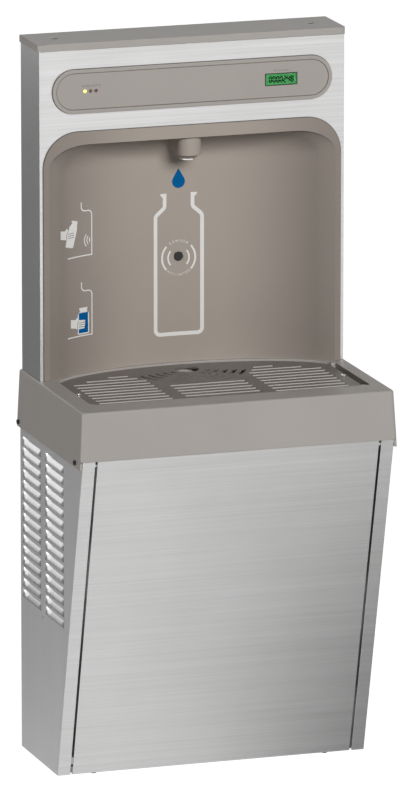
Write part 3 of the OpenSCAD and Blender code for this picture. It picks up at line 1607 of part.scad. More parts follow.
module cord_gland() {
    color(dark) on_wall() translate([gland_x, -box_y - box_d / 2, box_z]) difference() {
        union() {
            translate([0, 0, -gland_len]) cylinder(r = gland_r, h = gland_len + shroud_t + mould);
            translate([0, 0, -gland_flange_t]) cylinder(r = gland_flange_r, h = gland_flange_t - seat / 2);
        }
        translate([0, 0, -gland_len - over]) cylinder(r = gland_bore, h = 2 * gland_len);
    }
}

module wire_harness() {
    color(dark) on_wall() tube(rounded([[-wire_x, board_y + board_t, panel_mid - standoff_z],
        [-wire_x, -wire_y, panel_mid - standoff_z], [-wire_x, -wire_y, wire_z], [wire_box_x, -wire_y, wire_z],
        [wire_box_x, -wire_y, box_z + box_h]], tube_bend), wire_r);
}

top_cap();
cap_screws();
tower_shell();
tower_wall_plate();
control_panel();
lcd_window();
lcd_module();
led_yellow();
led_amber();
led_red();
control_board();
alcove_liner();
spout_housing();
spout_ring();
flow_straightener();
spout_elbow();
sensor_window();
sensor_module();
basin();
drain_grille();
grille_screws();
waste_fitting();
waste_trap();
waste_nuts();
basin_screws();
basin_front_rail();
left_side_panel();
right_side_panel();
left_front_post();
right_front_post();
front_panel();
front_panel_screws();
base_pan();
hanger_bracket();
rear_cross_rail();
compressor();
compressor_feet();
condenser_coil();
fan_shroud();
fan_motor();
fan_blade();
filter_drier();
refrigerant_lines();
evaporator_coil();
cooling_tank();
tank_insulation();
tank_stand();
thermostat_body();
thermostat_knob();
stop_valve();
stop_valve_handle();
water_tubes();
filter_head();
filter_cartridge();
solenoid_valve();
solenoid_plunger();
plunger_spring();
electrical_box();
cord_gland();
wire_harness();
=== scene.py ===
"""Looks of a wall-hung bottle filling station: finishes, added pieces, camera and light.

Where a class doesn't say otherwise, lengths are in millimetres from the foot of the cabinet: X to the right,
Y into the wall with the wall's face at 0, and Z up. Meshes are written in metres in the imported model's frame.
"""

import json
import logging
import math
from dataclasses import dataclass, field
from enum import Enum
from functools import partialmethod
from typing import Sequence

import bmesh
import bpy
from mathutils import Matrix, Vector


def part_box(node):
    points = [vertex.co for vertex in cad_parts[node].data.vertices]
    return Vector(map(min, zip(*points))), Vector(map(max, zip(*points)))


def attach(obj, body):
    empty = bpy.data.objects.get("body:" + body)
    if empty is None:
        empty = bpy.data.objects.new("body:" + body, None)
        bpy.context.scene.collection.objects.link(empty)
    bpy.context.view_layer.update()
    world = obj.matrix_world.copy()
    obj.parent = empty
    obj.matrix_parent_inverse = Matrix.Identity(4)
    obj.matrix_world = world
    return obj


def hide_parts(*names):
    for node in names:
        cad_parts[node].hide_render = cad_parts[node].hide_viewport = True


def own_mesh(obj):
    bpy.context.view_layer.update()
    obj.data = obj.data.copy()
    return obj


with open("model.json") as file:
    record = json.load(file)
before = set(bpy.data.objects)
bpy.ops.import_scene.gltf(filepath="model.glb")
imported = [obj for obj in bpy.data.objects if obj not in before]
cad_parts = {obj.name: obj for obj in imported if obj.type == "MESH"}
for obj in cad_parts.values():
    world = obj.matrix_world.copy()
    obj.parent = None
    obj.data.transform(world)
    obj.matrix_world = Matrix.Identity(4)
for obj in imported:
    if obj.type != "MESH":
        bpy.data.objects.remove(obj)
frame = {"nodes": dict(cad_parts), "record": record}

LOG = logging.getLogger("station")
FOOT_TO_BOLTS = 430.0
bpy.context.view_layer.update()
VALUE, COLOUR, VECTOR = "NodeSocketFloat", "NodeSocketColor", "NodeSocketVector"
GREY = (0.5, 0.5, 0.5, 1.0)
WHITE = (1.0, 1.0, 1.0, 1.0)
Colour = tuple[float, float, float]
Point = tuple[float, float, float]
Flat = tuple[float, float]
Row = list[bmesh.types.BMVert]
Form = bmesh.types.BMesh
Socket = bpy.types.NodeSocket
Tree = bpy.types.NodeTree
Thing = bpy.types.Object
Material = bpy.types.Material


def metres(x: float, y: float, z: float) -> Vector:
    """Turn a place in millimetres above the cabinet's foot into the model's frame.

    Args:
        x: Distance to the right of the middle.
        y: Distance from the wall, negative towards the user.
        z: Height above the foot of the cabinet.

    Returns:
        The place in metres, measured from the hanger bolts.
    """
    return Vector((x / 1000, y / 1000, (z - FOOT_TO_BOLTS) / 1000))


def paint(red: int, green: int, blue: int) -> Colour:
    """Turn a colour in display numbers from 0 to 255 into the linear one that shaders use.

    Args:
        red: Red.
        green: Green.
        blue: Blue.

    Returns:
        The linear colour.
    """
    shares = (c / 255 for c in (red, green, blue))
    return tuple(c / 12.92 if c < 0.0404 else ((c + 0.055) / 1.055) ** 2.4 for c in shares)


class Effect(Enum):
    """Surface effects, each one shader node group that several finishes share."""

    GRAIN = "moulded_grain"
    BRUSH = "brushed_lines"
    MOTTLE = "soft_mottle"
    DUST = "settled_dust"
    EDGE = "worn_edge"
    SPANGLE = "zinc_spangle"
    # Painted shade: darkens a colour towards the left and right ends of a part.
    FADE = "side_fade"


class Lay(Enum):
    """Direction in which a sheet is brushed or drawn, as the stretch of the lines along X, Y and Z."""

    ACROSS = (6.0, 1600.0, 1600.0)
    DEEP = (1600.0, 6.0, 1600.0)
    UPRIGHT = (1600.0, 1600.0, 6.0)
    NONE = (240.0, 240.0, 240.0)


class Sketch:
    """Places nodes in one tree and links them."""

    def __init__(self, tree: Tree) -> None:
        """Start on an empty tree."""
        self.tree = tree
        tree.nodes.clear()

    def add(self, kind: str, settings: dict | None = None, sockets: dict | None = None) -> bpy.types.Node:
        """Add one node.

        Args:
            kind: Blender's name of the node type, without the leading ShaderNode.
            settings: Properties of the node.
            sockets: Inputs by name or number, each a plain value or another node's output.

        Returns:
            The new node.
        """
        node = self.tree.nodes.new(kind if kind.startswith("Node") else "ShaderNode" + kind)
        for name, value in (settings or {}).items():
            setattr(node, name, value)
        for name, value in (sockets or {}).items():
            if isinstance(value, Socket):
                self.tree.links.new(value, node.inputs[name])
            else:
                node.inputs[name].default_value = value
        return node

    def place(self) -> Socket:
        """Add the place on the object, in metres."""
        return self.add("TexCoord").outputs["Object"]

    def maths(self, operation: str, a: object, b: object = 0.0, clamp: bool = False) -> Socket:
        """Combine two values or outputs by one of Blender's operations."""
        return self.add("Math", {"operation": operation, "use_clamp": clamp}, {0: a, 1: b}).outputs[0]

    times = partialmethod(maths, "MULTIPLY")
    plus = partialmethod(maths, "ADD")

    def grey(self, tone: object) -> Socket:
        """Turn a value or output into a grey."""
        return self.add("CombineColor", None, {0: tone, 1: tone, 2: tone}).outputs[0]

    def blend(self, share: object, a: object, b: object, mode: str = "MIX") -> Socket:
        """Mix two colours.

        Args:
            share: Share of the second colour, a value or an output.
            a: First colour or output.
            b: Second colour or output.
            mode: Blender's name of the blend mode.

        Returns:
            The mixed colour's output.
        """
        a, b = (c if isinstance(c, Socket) else (*c[:3], 1.0) for c in (a, b))
        settings = {"data_type": "RGBA", "blend_type": mode, "clamp_factor": True}
        return self.add("Mix", settings, {0: share, 6: a, 7: b}).outputs[2]

    def span(self, value: object, low: float, high: float, to: Flat = (0.0, 1.0)) -> Socket:
        """Map a value smoothly from the range low to high onto another, and clamp it."""
        sockets = {0: value, 1: low, 2: high, 3: to[0], 4: to[1]}
        return self.add("MapRange", {"interpolation_type": "SMOOTHSTEP"}, sockets).outputs[0]

    def noise(self, vector: object, scale: object, detail: float = 3.0,
              rough: float = 0.55) -> Socket:
        """Add a noise texture, with detail octaves and rough as the share of the finer ones."""
        sockets = {"Vector": vector, "Scale": scale, "Detail": detail, "Roughness": rough}
        return self.add("TexNoise", None, sockets).outputs["Fac"]

    def end(self, results: dict[str, Socket]) -> Tree:
        """Send named results out of a group."""
        self.add("NodeGroupOutput", None, results)
        return self.tree

    def show(self, sockets: dict[str, object]) -> None:
        """End a material with one shader that has these inputs."""
        self.add("OutputMaterial", None, {0: self.add("BsdfPrincipled", None, sockets).outputs[0]})


def material_sketch(name: str) -> tuple[Material, Sketch]:
    """Make an empty material.

    Args:
        name: Its name.

    Returns:
        The material and the sketch of its nodes.
    """
    material = bpy.data.materials.new(name)
    material.use_nodes = True
    return material, Sketch(material.node_tree)


class Effects:
    """Builds each effect's node group once and hands it out."""

    def __init__(self) -> None:
        """Start with no groups built."""
        self.built: dict[Effect, Tree] = {}
        self.makers = {Effect.GRAIN: self.grain, Effect.BRUSH: self.brush, Effect.MOTTLE: self.mottle,
                       Effect.DUST: self.dust, Effect.EDGE: self.edge, Effect.SPANGLE: self.spangle,
                       Effect.FADE: self.fade}

    def use(self, sketch: Sketch, effect: Effect,
            sockets: dict[str, object] | None = None) -> bpy.types.bpy_prop_collection:
        """Place an effect in a material.

        Args:
            sketch: Sketch of the material.
            effect: The effect that is wanted.
            sockets: Inputs of the effect.

        Returns:
            Its outputs by name.
        """
        if effect not in self.built:
            self.built[effect] = self.makers[effect]()
        return sketch.add("Group", {"node_tree": self.built[effect]}, sockets).outputs

    @staticmethod
    def blank(effect: Effect, inputs: dict[str, object], outputs: dict[str, str]) -> tuple[Sketch, dict]:
        """Make an empty group with named sockets.

        Args:
            effect: The effect whose group it is.
            inputs: Name and default of each input; a number, a colour of four or a vector of three.
            outputs: Name and socket type of each output.

        Returns:
            The group's sketch and its inputs by name.
        """
        tree = bpy.data.node_groups.new(effect.value, "ShaderNodeTree")
        kinds = {3: VECTOR, 4: COLOUR}
        for name, value in inputs.items():
            kind = kinds[len(value)] if isinstance(value, tuple) else VALUE
            tree.interface.new_socket(name=name, in_out="INPUT", socket_type=kind).default_value = value
        for name, kind in outputs.items():
            tree.interface.new_socket(name=name, in_out="OUTPUT", socket_type=kind)
        sketch = Sketch(tree)
        entry = sketch.add("NodeGroupInput")
        return sketch, {name: entry.outputs[name] for name in inputs}

    def grain(self) -> Tree:
        """Build the fine spark-eroded grain of a moulding, with its flow marks.

        Returns:
            The group: Scale in, Height and Tone out.
        """
        sketch, given = self.blank(Effect.GRAIN, {"Scale": 900.0}, {"Height": VALUE, "Tone": VALUE})
        place = sketch.place()
        pits = sketch.add("TexVoronoi", None, {"Vector": place, "Scale": given["Scale"]}).outputs["Distance"]
        fine = sketch.noise(place, given["Scale"], 4.0, 0.65)
        flow = sketch.noise(place, 14.0, 3.0, 0.6)
        tone = sketch.plus(sketch.times(fine, 0.5), sketch.times(flow, 0.5))
        return sketch.end({"Height": sketch.plus(pits, fine), "Tone": tone})

    def brush(self) -> Tree:
        """Build the lines that an abrasive belt leaves in sheet metal.

        Returns:
            The group: Stretch in, Tone, Height and Band out.
        """
        sketch, given = self.blank(Effect.BRUSH, {"Stretch": (5.0, 700.0, 700.0)},
                                   {"Tone": VALUE, "Height": VALUE, "Band": VALUE})
        stretched = sketch.add("VectorMath", {"operation": "MULTIPLY"},
                               {0: sketch.place(), 1: given["Stretch"]}).outputs[0]
        lines = sketch.noise(stretched, 1.0, 5.0, 0.75)
        wide = sketch.noise(stretched, 0.11, 3.0, 0.6)
        long = sketch.noise(stretched, 0.45, 2.0, 0.5)
        tone = sketch.plus(sketch.times(lines, 0.55), sketch.times(long, 0.45))
        return sketch.end({"Tone": sketch.span(tone, 0.36, 0.64), "Height": lines,
                           "Band": sketch.span(wide, 0.35, 0.65)})

    def mottle(self) -> Tree:
        """Build slow changes of colour over a surface.

        Returns:
            The group: Color, Amount and Scale in, Color out.
        """
        sketch, given = self.blank(Effect.MOTTLE, {"Color": GREY, "Amount": 0.05, "Scale": 9.0},
                                   {"Color": COLOUR})
        cloud = sketch.maths("SUBTRACT", sketch.noise(sketch.place(), given["Scale"], 4.0, 0.55), 0.5)
        factor = sketch.plus(sketch.times(cloud, sketch.times(given["Amount"], 4.0)), 1.0)
        return sketch.end({"Color": sketch.blend(1.0, given["Color"], sketch.grey(factor), "MULTIPLY")})

    def dust(self) -> Tree:
        """Build the thin dust and water marks that settle on surfaces facing up.

        Returns:
            The group: Color, Dust and Amount in, Color and Mask out.
        """
        inputs = {"Color": GREY, "Dust": (0.6, 0.58, 0.55, 1.0), "Amount": 0.1}
        sketch, given = self.blank(Effect.DUST, inputs, {"Color": COLOUR, "Mask": VALUE})
        normal = sketch.add("NewGeometry").outputs["Normal"]
        up = sketch.span(sketch.add("SeparateXYZ", None, {0: normal}).outputs["Z"], 0.55, 0.95)
        patch = sketch.span(sketch.noise(sketch.place(), 38.0, 5.0, 0.65), 0.4, 0.75)
        mask = sketch.times(sketch.times(up, patch), given["Amount"], clamp=True)
        return sketch.end({"Color": sketch.blend(mask, given["Color"], given["Dust"]), "Mask": mask})

    def edge(self) -> Tree:
        """Build softened edges: a rounded normal, and a mask where hands and cloths rub an edge.

        Returns:
            The group: Radius in metres in, Normal and Mask out.
        """
        sketch, given = self.blank(Effect.EDGE, {"Radius": 0.0008}, {"Normal": VECTOR, "Mask": VALUE})
        soft = sketch.add("Bevel", {"samples": 4}, {"Radius": given["Radius"]}).outputs[0]
        plain = sketch.add("NewGeometry").outputs["Normal"]
        same = sketch.add("VectorMath", {"operation": "DOT_PRODUCT"}, {0: soft, 1: plain}).outputs["Value"]
        patch = sketch.noise(sketch.place(), 120.0, 4.0, 0.6)
        mask = sketch.times(sketch.span(same, 0.995, 0.85), patch, clamp=True)
        return sketch.end({"Normal": soft, "Mask": mask})

    def spangle(self) -> Tree:
        """Build the crystal pattern of galvanised sheet.

        Returns:
            The group: Scale in, Tone out.
        """
        sketch, given = self.blank(Effect.SPANGLE, {"Scale": 120.0}, {"Tone": VALUE})
        place = sketch.place()
        cell = sketch.add("TexVoronoi", None, {"Vector": place, "Scale": given["Scale"]}).outputs["Color"]
        tone = sketch.add("SeparateColor", None, {0: cell}).outputs[0]
        cloud = sketch.noise(place, 60.0)
        return sketch.end({"Tone": sketch.plus(sketch.times(tone, 0.6), sketch.times(cloud, 0.4))})

    def fade(self) -> Tree:
        """Build painted shade: the colour darkened towards the left and right ends of a wide moulding, where
        its sides fall into shade.

        Returns:
            The group: Color and Amount in, Color out.
        """
        sketch, given = self.blank(Effect.FADE, {"Color": GREY, "Amount": 0.3}, {"Color": COLOUR})
        x = sketch.add("SeparateXYZ", None, {0: sketch.place()}).outputs["X"]
        share = sketch.times(sketch.span(sketch.maths("ABSOLUTE", x), 0.05, 0.225), given["Amount"])
        return sketch.end({"Color": sketch.blend(share, given["Color"], (0.0, 0.0, 0.0))})


@dataclass(frozen=True)
class Finish:
    """One surface finish: moulded plastic, rubber, paint or metal.

    Attributes:
        name: Name of the material.
        colour: Linear base colour.
        rough: Roughness of the clean surface.
        metal: Metallic value.
        gloss: Specular level.
        coat: Weight of the clear coat.
        coat_rough: Roughness of the clear coat.
        grain: Scale of the moulded grain, in cells per metre.
        depth: Depth of the grain or lines, in metres.
        lay: Direction of the brushed lines.
        lines: How strongly the lines show in colour and roughness.
        mottle: Slow change of colour.
        dust: How much dust lies on surfaces that face up.
        edge: Radius of the softened edges, in metres.
        wear: How much lighter rubbed edges are.
        spangle: How strongly zinc crystals show.
        fade: How much painted shade darkens the colour towards the left and right ends.
        glow: Strength of the light that the surface gives.
        clear: Transmission weight.
    """

    name: str
    colour: Colour
    rough: float
    metal: float = 0.0
    gloss: float = 0.5
    coat: float = 0.0
    coat_rough: float = 0.1
    grain: float = 900.0
    depth: float = 0.00004
    lay: Lay | None = None
    lines: float = 0.0
    mottle: float = 0.03
    dust: float = 0.0
    edge: float = 0.0007
    wear: float = 0.15
    spangle: float = 0.0
    fade: float = 0.0
    glow: float = 0.0
    clear: float = 0.0

    def build(self, effects: Effects) -> Material:
        """Build the material.

        Args:
            effects: Shared effect groups.

        Returns:
            The new material.
        """
        material, sketch = material_sketch(self.name)
        plain = {"Color": (*self.colour, 1.0), "Amount": self.mottle}
        colour = effects.use(sketch, Effect.MOTTLE, plain)["Color"]
        # Painted shade: the colour is darker towards the left and right ends of the part.
        if self.fade:
            colour = effects.use(sketch, Effect.FADE, {"Color": colour, "Amount": self.fade})["Color"]
        if self.lay is None:
            spread = 0.12
            marks = effects.use(sketch, Effect.GRAIN, {"Scale": self.grain})
        else:
            spread = 0.05
            marks = effects.use(sketch, Effect.BRUSH, {"Stretch": self.lay.value})
            light = sketch.plus(sketch.times(marks["Tone"], 2 * self.lines), 1 - self.lines)
            band = sketch.plus(sketch.times(marks["Band"], self.lines / 2), 1 - self.lines / 4)
            colour = sketch.blend(1.0, colour, sketch.grey(sketch.times(light, band)), "MULTIPLY")
        if self.spangle:
            crystal = sketch.times(effects.use(sketch, Effect.SPANGLE)["Tone"], self.spangle)
            bright = tuple(min(1.0, c * (1 + self.spangle)) for c in self.colour)
            colour = sketch.blend(crystal, colour, bright)
        edge = effects.use(sketch, Effect.EDGE, {"Radius": self.edge})
        rubbed = tuple((c + 0.9) / 2 for c in self.colour)
        colour = sketch.blend(sketch.times(edge["Mask"], self.wear), colour, rubbed)
        rough = sketch.plus(sketch.times(marks["Tone"], spread), self.rough - spread / 2, clamp=True)
        if self.dust:
            dust = effects.use(sketch, Effect.DUST, {"Color": colour, "Amount": self.dust})
            colour = dust["Color"]
            rough = sketch.plus(rough, sketch.times(dust["Mask"], 0.5), clamp=True)
        bump = sketch.add("Bump", None, {"Strength": 0.5, "Distance": self.depth, "Height": marks["Height"],
                                         "Normal": edge["Normal"]})
        sockets = {"Base Color": colour, "Roughness": rough, "Normal": bump.outputs[0],
                   "Metallic": self.metal, "Specular IOR Level": self.gloss, "Coat Weight": self.coat,
                   "Coat Roughness": self.coat_rough, "Transmission Weight": self.clear,
                   "Emission Strength": self.glow}
        if self.glow:
            sockets["Emission Color"] = colour
        sketch.show(sockets)
        return material


FINISHES: dict[str, Finish] = {f.name: f for f in (
    Finish("taupe_plastic", paint(171, 166, 161), 0.42, gloss=0.25, coat=0.04, coat_rough=0.2, dust=0.03,
           edge=0.0012),
    # The liner's colour is darkened towards its left and right ends, as painted shade.
    Finish("liner_plastic", paint(167, 157, 148), 0.42, gloss=0.3, dust=0.03, edge=0.001, fade=0.34),
    Finish("panel_plastic", paint(164, 158, 152), 0.4, edge=0.0005),
    Finish("stainless_sheet", (0.49, 0.49, 0.487), 0.36, metal=1.0, lay=Lay.ACROSS, lines=0.06,
           depth=0.00001),
    Finish("side_sheet", (0.5, 0.5, 0.5), 0.48, metal=0.7, lay=Lay.UPRIGHT, lines=0.04, depth=0.00001),
    Finish("zinc_sheet", (0.50, 0.51, 0.52), 0.42, metal=1.0, lay=Lay.NONE, lines=0.03, spangle=0.35),
    Finish("dark_screw", paint(38, 38, 40), 0.35, metal=0.6, edge=0.0004, wear=0.5),
    Finish("bright_metal", (0.75, 0.75, 0.76), 0.14, metal=1.0, edge=0.0004),
    Finish("tank_steel", (0.60, 0.60, 0.61), 0.3, metal=1.0, lay=Lay.UPRIGHT, lines=0.08),
    Finish("grille_plastic", paint(116, 111, 106), 0.42, gloss=0.25, dust=0.05, grain=1200.0, edge=0.0004),
    Finish("display", paint(24, 148, 62), 0.4, gloss=0.2, glow=0.12, edge=0.0002),
    Finish("lens_yellow", paint(236, 230, 120), 0.25, glow=0.9, edge=0.0003),
    Finish("lens_amber", paint(92, 62, 36), 0.2, coat=0.6, edge=0.0003),
    Finish("lens_red", paint(92, 34, 32), 0.2, coat=0.6, edge=0.0003),
    Finish("circuit_board", paint(24, 92, 52), 0.35, coat=0.5, grain=400.0, edge=0.0003),
    Finish("black_gloss", paint(24, 22, 24), 0.2, gloss=0.3, coat=0.15, coat_rough=0.08, edge=0.0004),
    Finish("black_plastic", paint(36, 36, 38), 0.5, dust=0.2),
    Finish("white_plastic", paint(226, 226, 220), 0.35, dust=0.05, grain=500.0),
    Finish("blue_plastic", paint(34, 68, 124), 0.42),
    Finish("clear_tube", paint(214, 220, 226), 0.3, clear=0.35, edge=0.0002),
    Finish("foam", paint(212, 196, 150), 0.9, grain=260.0, depth=0.0006, mottle=0.1),
    Finish("black_rubber", paint(26, 26, 27), 0.7, dust=0.2),
    Finish("black_paint", paint(30, 30, 31), 0.38, coat=0.4, coat_rough=0.25, dust=0.25),
    Finish("fin_metal", (0.62, 0.63, 0.64), 0.38, metal=1.0, lay=Lay.UPRIGHT, lines=0.06, dust=0.3),
    Finish("copper", (0.72, 0.40, 0.25), 0.3, metal=1.0, lay=Lay.NONE, lines=0.08, mottle=0.12),
    Finish("brass", (0.66, 0.50, 0.24), 0.34, metal=1.0, lay=Lay.NONE, lines=0.05, mottle=0.08),
    Finish("print_white", paint(232, 230, 227), 0.5, gloss=0.2, edge=0.0001, mottle=0.02),
    Finish("print_blue", paint(0, 92, 150), 0.5, gloss=0.05, edge=0.0001, mottle=0.02),
    Finish("print_dark", paint(104, 98, 92), 0.5, edge=0.0001, mottle=0.02),
    Finish("display_ink", paint(2, 24, 12), 0.5, gloss=0.05, edge=0.0001, mottle=0.02),
    # Painted highlight: a lighter copy of the grille's plastic for the slots' rear walls.
    Finish("slot_wall_painted_highlight", paint(190, 186, 181), 0.4, edge=0.0002),
    # Dark sealing beads, whose colour also paints the shade in the gaps round the plastic parts.
    Finish("seal_bead_and_gap_shade", paint(92, 88, 84), 0.5, edge=0.0002),
    # Painted highlight: the louvre blades' faces, a brighter and glossier copy of the side sheet.
    Finish("blade_painted_highlight", (0.8, 0.8, 0.8), 0.24, metal=1.0, lay=Lay.DEEP, lines=0.03, depth=0.00001),
    # The display's dark frame, and painted shade in the louvre openings.
    Finish("black_frame_and_painted_shade", paint(16, 16, 17), 0.8, edge=0.0002),
)}


@dataclass(frozen=True)
class Glass:
    """Clear window over the display.

    Attributes:
        name: Name of the material.
        colour: Linear tint.
        rough: Roughness.
    """

    name: str = "display_glass"
    colour: Colour = (0.80, 0.95, 0.86)
    rough: float = 0.05

    def build(self, effects: Effects) -> Material:
        """Build the material with faint smudges.

        Args:
            effects: Shared effect groups.

        Returns:
            The new material.
        """
        material, sketch = material_sketch(self.name)
        tint = effects.use(sketch, Effect.MOTTLE, {"Color": (*self.colour, 1.0), "Amount": 0.02})["Color"]
        smudge = effects.use(sketch, Effect.GRAIN, {"Scale": 60.0})["Tone"]
        rough = sketch.plus(sketch.times(smudge, 0.06), self.rough)
        sketch.show({"Metallic": 0.0, "Transmission Weight": 1.0, "IOR": 1.45, "Base Color": tint,
                     "Roughness": rough})
        return material


class Paintbox:
    """Builds each finish when it is first asked for, and finishes pieces with it."""

    def __init__(self) -> None:
        """Start with no material built."""
        self.effects = Effects()
        self.made: dict[str, Material] = {}

    def dress(self, thing: Thing, name: str) -> None:
        """Give an object one finish all over.

        Args:
            thing: Object with a mesh.
            name: Name of the finish.
        """
        if name not in self.made:
            finish = Glass() if name == "display_glass" else FINISHES[name]
            self.made[name] = finish.build(self.effects)
        if not thing.data.materials:
            thing.data.materials.append(self.made[name])
        for slot in thing.material_slots:
            slot.material = self.made[name]

    def piece(self, thing: Thing, finish: str, node: str = "") -> None:
        """Finish a new piece that belongs to the fixed body.

        Args:
            thing: The piece.
            finish: Name of its finish.
            node: CAD node that the piece stands for, if any.
        """
        self.dress(thing, finish)
        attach(thing, "station")
        if node:
            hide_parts(node)
        LOG.info("piece %s", thing.name)


def sculpt(name: str, form: Form, smooth: bool = False, tidy: bool = True) -> Thing:
    """Turn a mesh under construction into an object in the scene.

    Args:
        name: Name of the object.
        form: The mesh, which is freed.
        smooth: Whether its faces are shaded smooth.
        tidy: Whether its faces are turned outwards.

    Returns:
        The new object.
    """
    if tidy:
        bmesh.ops.recalc_face_normals(form, faces=form.faces)
    for face in form.faces:
        face.smooth = smooth
    data = bpy.data.meshes.new(name)
    form.to_mesh(data)
    form.free()
    thing = bpy.data.objects.new(name, data)
    bpy.context.scene.collection.objects.link(thing)
    return thing


def row(form: Form, spots: Sequence[Sequence[float]]) -> Row:
    """Add one row of points to a mesh.

    Args:
        form: Mesh that takes them.
        spots: Their places in millimetres.

    Returns:
        The points.
    """
    return [form.verts.new(metres(*p)) for p in spots]


def loft(form: Form, rows: list[Row], closed: bool = False, ring: bool = False) -> None:
    """Join rows of points with faces.

    Args:
        form: Mesh that takes the faces.
        rows: Rows with as many points each.
        closed: Whether the last row joins the first.
        ring: Whether the last point of a row joins its first.
    """
    for one, two in zip(rows, rows[1:] + rows[:1] if closed else rows[1:]):
        for k in range(len(one) if ring else len(one) - 1):
            j = (k + 1) % len(one)
            form.faces.new((one[k], one[j], two[j], two[k]))


def rounded(points: Sequence[Sequence[float]], radius: float, steps: int = 8) -> list[Vector]:
    """Round the corners of a route, in the plane or in space.

    Args:
        points: Corners of the route, in millimetres.
        radius: Radius of the corners.
        steps: Number of chords in a corner.

    Returns:
        The route with its rounded corners.
    """
    spots = [Vector(p) for p in points]
    path = [spots[0]]
    for before, here, after in zip(spots, spots[1:], spots[2:]):
        one, two = (before - here).normalized(), (after - here).normalized()
        half = math.acos(max(-1.0, min(1.0, one.dot(two)))) / 2
        if half > math.pi / 2 - 0.01:
            path.append(here)
            continue
        middle = here + (one + two).normalized() * (radius / math.sin(half))
        first, last = (here + v * (radius / math.tan(half)) - middle for v in (one, two))
        turn = math.pi - 2 * half
        path += [middle + (first * math.sin((1 - k / steps) * turn) + last * math.sin(k / steps * turn))
                 / math.sin(turn) for k in range(steps + 1)]
    return path + [spots[-1]]


def arc(centre: Flat, radius: float, start: float, end: float, steps: int = 16) -> list[Vector]:
    """List points along a circular arc in the plane.

    Args:
        centre: Middle of the circle.
        radius: Its radius.
        start: Angle of the first point in degrees.
        end: Angle of the last point in degrees.
        steps: Number of chords.

    Returns:
        The points.
    """
    angles = [math.radians(start + (end - start) * k / steps) for k in range(steps + 1)]
    return [Vector((centre[0] + radius * math.cos(a), centre[1] + radius * math.sin(a))) for a in angles]


def pill(straight: float, radius: float, height: float) -> list[Vector]:
    """List the points round a lying shape with straight edges and round ends.

    Args:
        straight: Half the length of a straight edge.
        radius: Radius of the ends.
        height: Height of its middle.

    Returns:
        The points.
    """
    ends = ((straight, -90), (-straight, 90))
    return [p for x, start in ends for p in arc((x, height), radius, start, start + 180, 32)]


def helix(foot: Point, radius: float, rise: float, turns: float, chords: int) -> list[Vector]:
    """List the points of a coil that climbs.

    Args:
        foot: Middle of its lowest turn.
        radius: Radius of the turns.
        rise: Height of the whole coil.
        turns: Number of turns.
        chords: Number of chords in a turn.

    Returns:
        The points.
    """
    steps = round(turns * chords)
    shares = [k / steps for k in range(steps + 1)]
    return [Vector(foot) + Vector((radius * math.cos(2 * math.pi * turns * s),
                                   radius * math.sin(2 * math.pi * turns * s), rise * s)) for s in shares]


def sweep(form: Form, path: Sequence[Vector], radius: float, sides: int = 16) -> None:
    """Add a round tube along a path.

    Args:
        form: Mesh that takes the tube.
        path: Points in millimetres.
        radius: Radius of the tube in millimetres.
        sides: Number of points round it.
    """
    upright = abs((path[1] - path[0]).normalized().z) > 0.9
    up = Vector((1.0, 0.0, 0.0)) if upright else Vector((0.0, 0.0, 1.0))
    turns = [2 * math.pi * k / sides for k in range(sides)]
    rings = []
    for i, here in enumerate(path):
        ahead = (path[min(i + 1, len(path) - 1)] - path[max(i - 1, 0)]).normalized()
        up = (up - ahead * up.dot(ahead)).normalized()
        side = ahead.cross(up)
        rings.append(row(form, [here + (up * math.cos(a) + side * math.sin(a)) * radius for a in turns]))
    loft(form, rings, ring=True)
    form.faces.new(rings[0])
    form.faces.new(list(reversed(rings[-1])))


